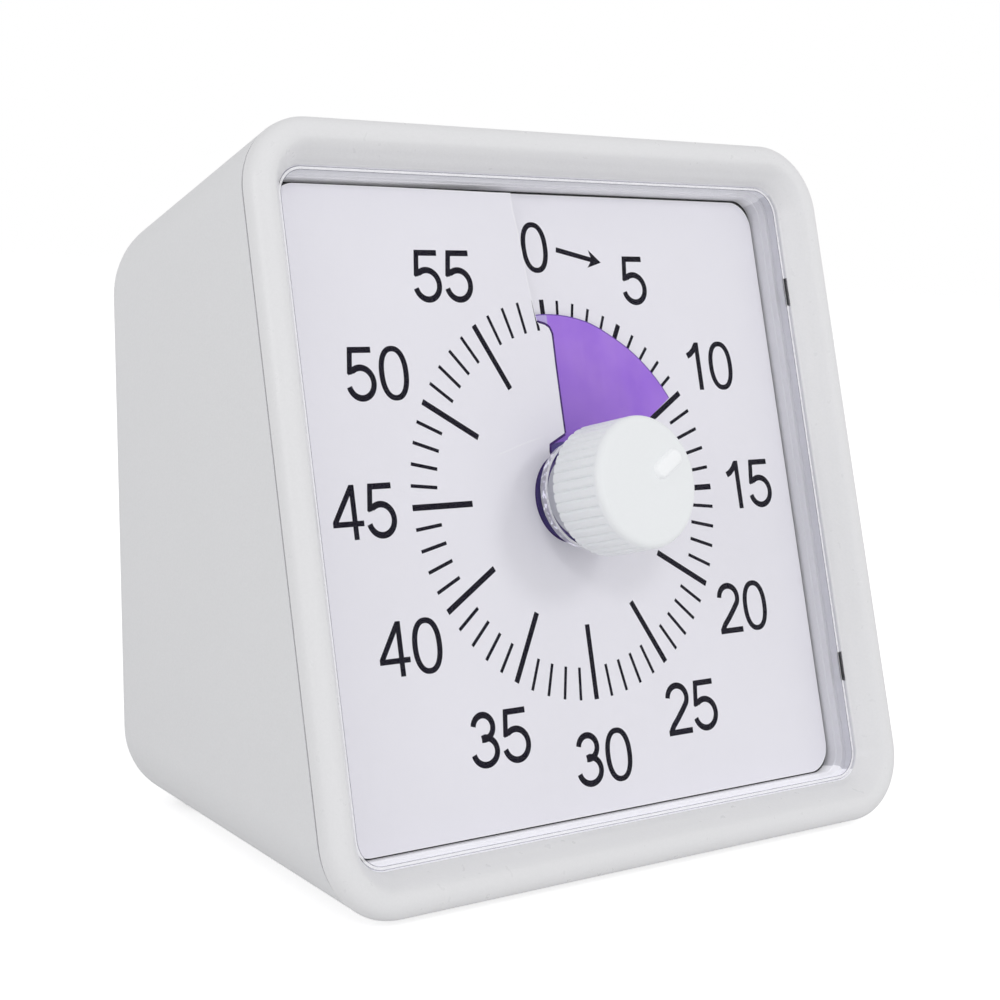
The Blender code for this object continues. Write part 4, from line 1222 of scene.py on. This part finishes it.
def feet():
    shape = [(3.3, BASE_Z - 0.5), (3.6, BASE_Z - 0.48), (3.85, BASE_Z - 0.38), (3.98, BASE_Z - 0.2),
             (4.0, BASE_Z), (4.0, BASE_Z + 0.6)]
    for i, (x, y) in enumerate(FOOT_SPOTS):
        at = Matrix.Translation(ORIGIN + Vector((x, y, 0.0)))
        obj = place(turned(shape, 64), "foot_pad_%d" % (i + 1), at)
        smooth(obj, 40.0)
        dress(obj, "rubber_grey", "foot_%d" % (i + 1))


def inner_nodes():
    """CAD nodes that keep their shape, each slot with its procedural finish."""
    for name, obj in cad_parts.items():
        if obj.hide_render:
            continue
        slots = [m.name.split(".")[0] for m in obj.data.materials]
        for i, slot in enumerate(slots):
            if slot in MATS:
                # the dial plate takes the charcoal finish as painted shade in the gaps round the
                # card
                finish = "frame_dark" if name == "dial_plate" else slot
                obj.material_slots[i].material = MATS[finish]


# ---- studio
def floor():
    """Pale floor disc that fades out before its rim."""
    bm = bmesh.new()
    bmesh.ops.create_circle(bm, cap_ends=True, cap_tris=True, segments=96, radius=2200.0)
    obj = place(bm, "studio_floor", Matrix.Identity(4))
    m = Nodes("floor_white")
    far = m.add("VectorMath", {0: m.coords}, operation="LENGTH").outputs["Value"]
    fade = m.remap(far, 0.0, 1.0, 0.25, 1.6)
    seen = m.add("LightPath").outputs["Is Camera Ray"]
    m.set(Base_Color=m.mix(m.noise(6.0), rgb(0.61, 0.61, 0.61), rgb(0.65, 0.65, 0.65)))
    m.set(Emission_Color=rgb(1.0, 1.0, 1.0))
    m.set(Emission_Strength=m.remap(seen, 0.22, 0.66, 0.0, 1.0))
    m.set(Specular_IOR_Level=0.0, Roughness=0.8)
    m.surface(m.blend(fade, m.shader, m.add("BsdfTransparent")))
    obj.data.materials.append(m.mat)


def lamp(name, at, size, power, mirrored=True, aim=(0.0, 0.0, 0.04)):
    data = bpy.data.lights.new(name, "AREA")
    data.shape = "DISK"
    data.size = size
    data.energy = power
    obj = bpy.data.objects.new(name, data)
    obj.location = at
    obj.visible_glossy = mirrored
    obj.rotation_euler = (Vector(aim) - Vector(at)).to_track_quat("-Z", "Y").to_euler()
    bpy.context.scene.collection.objects.link(obj)


AMBIENT_UP, AMBIENT_DOWN = 0.68, 0.90


def studio():
    """White tent, brightest towards the glowing table; the camera sees plain white."""
    m = Nodes("studio_world", bpy.data.worlds, "Background", "World Output")
    seen = m.add("LightPath").outputs["Is Camera Ray"]
    ray = m.add("TexCoord").outputs["Generated"]
    rise = m.add("SeparateXYZ", {0: ray}).outputs["Z"]
    tent = m.remap(rise, AMBIENT_DOWN, AMBIENT_UP, -0.2, 0.65)
    m.set(Color=rgb(1.0, 1.0, 1.0), Strength=m.remap(seen, tent, 1.0, 0.0, 1.0))
    bpy.context.scene.world = m.mat
    lamp("key_right", (0.32, -0.90, 0.64), 0.26, 1.5, False)
    lamp("key_left", (-0.50, -0.87, 0.62), 0.22, 1.5, False)
    lamp("fill_left", (-1.1, -0.25, 0.45), 0.7, 1.4)
    bpy.context.scene.view_settings.view_transform = "Standard"


def camera():
    ahead = math.cos(PITCH)
    forward = Vector((math.sin(YAW) * ahead, math.cos(YAW) * ahead, math.sin(PITCH)))
    level = forward.cross(Vector((0.0, 0.0, 1.0))).normalized()
    upright = level.cross(forward)
    right = level * math.cos(ROLL) + upright * math.sin(ROLL)
    up = upright * math.cos(ROLL) - level * math.sin(ROLL)
    data = bpy.data.cameras.new("camera")
    data.lens = LENS
    data.sensor_width = 36.0
    data.shift_x = SHIFT_X
    data.shift_y = SHIFT_Y
    data.clip_start = 0.01
    data.clip_end = 20.0
    obj = bpy.data.objects.new("camera", data)
    obj.matrix_world = axes(right, up, -forward, (ORIGIN + CAMERA_AT) * MM)
    bpy.context.scene.collection.objects.link(obj)
    bpy.context.scene.camera = obj


camera()
floor()
studio()
rear_shell()
bezel()
lens()
card()
card_lines()
film()
ticks()
numerals()
hub()
knob_cap()
battery_door()
battery_tray()
battery_cell()
battery_contacts()
slide_switch()
fasteners()
feet()
inner_nodes()
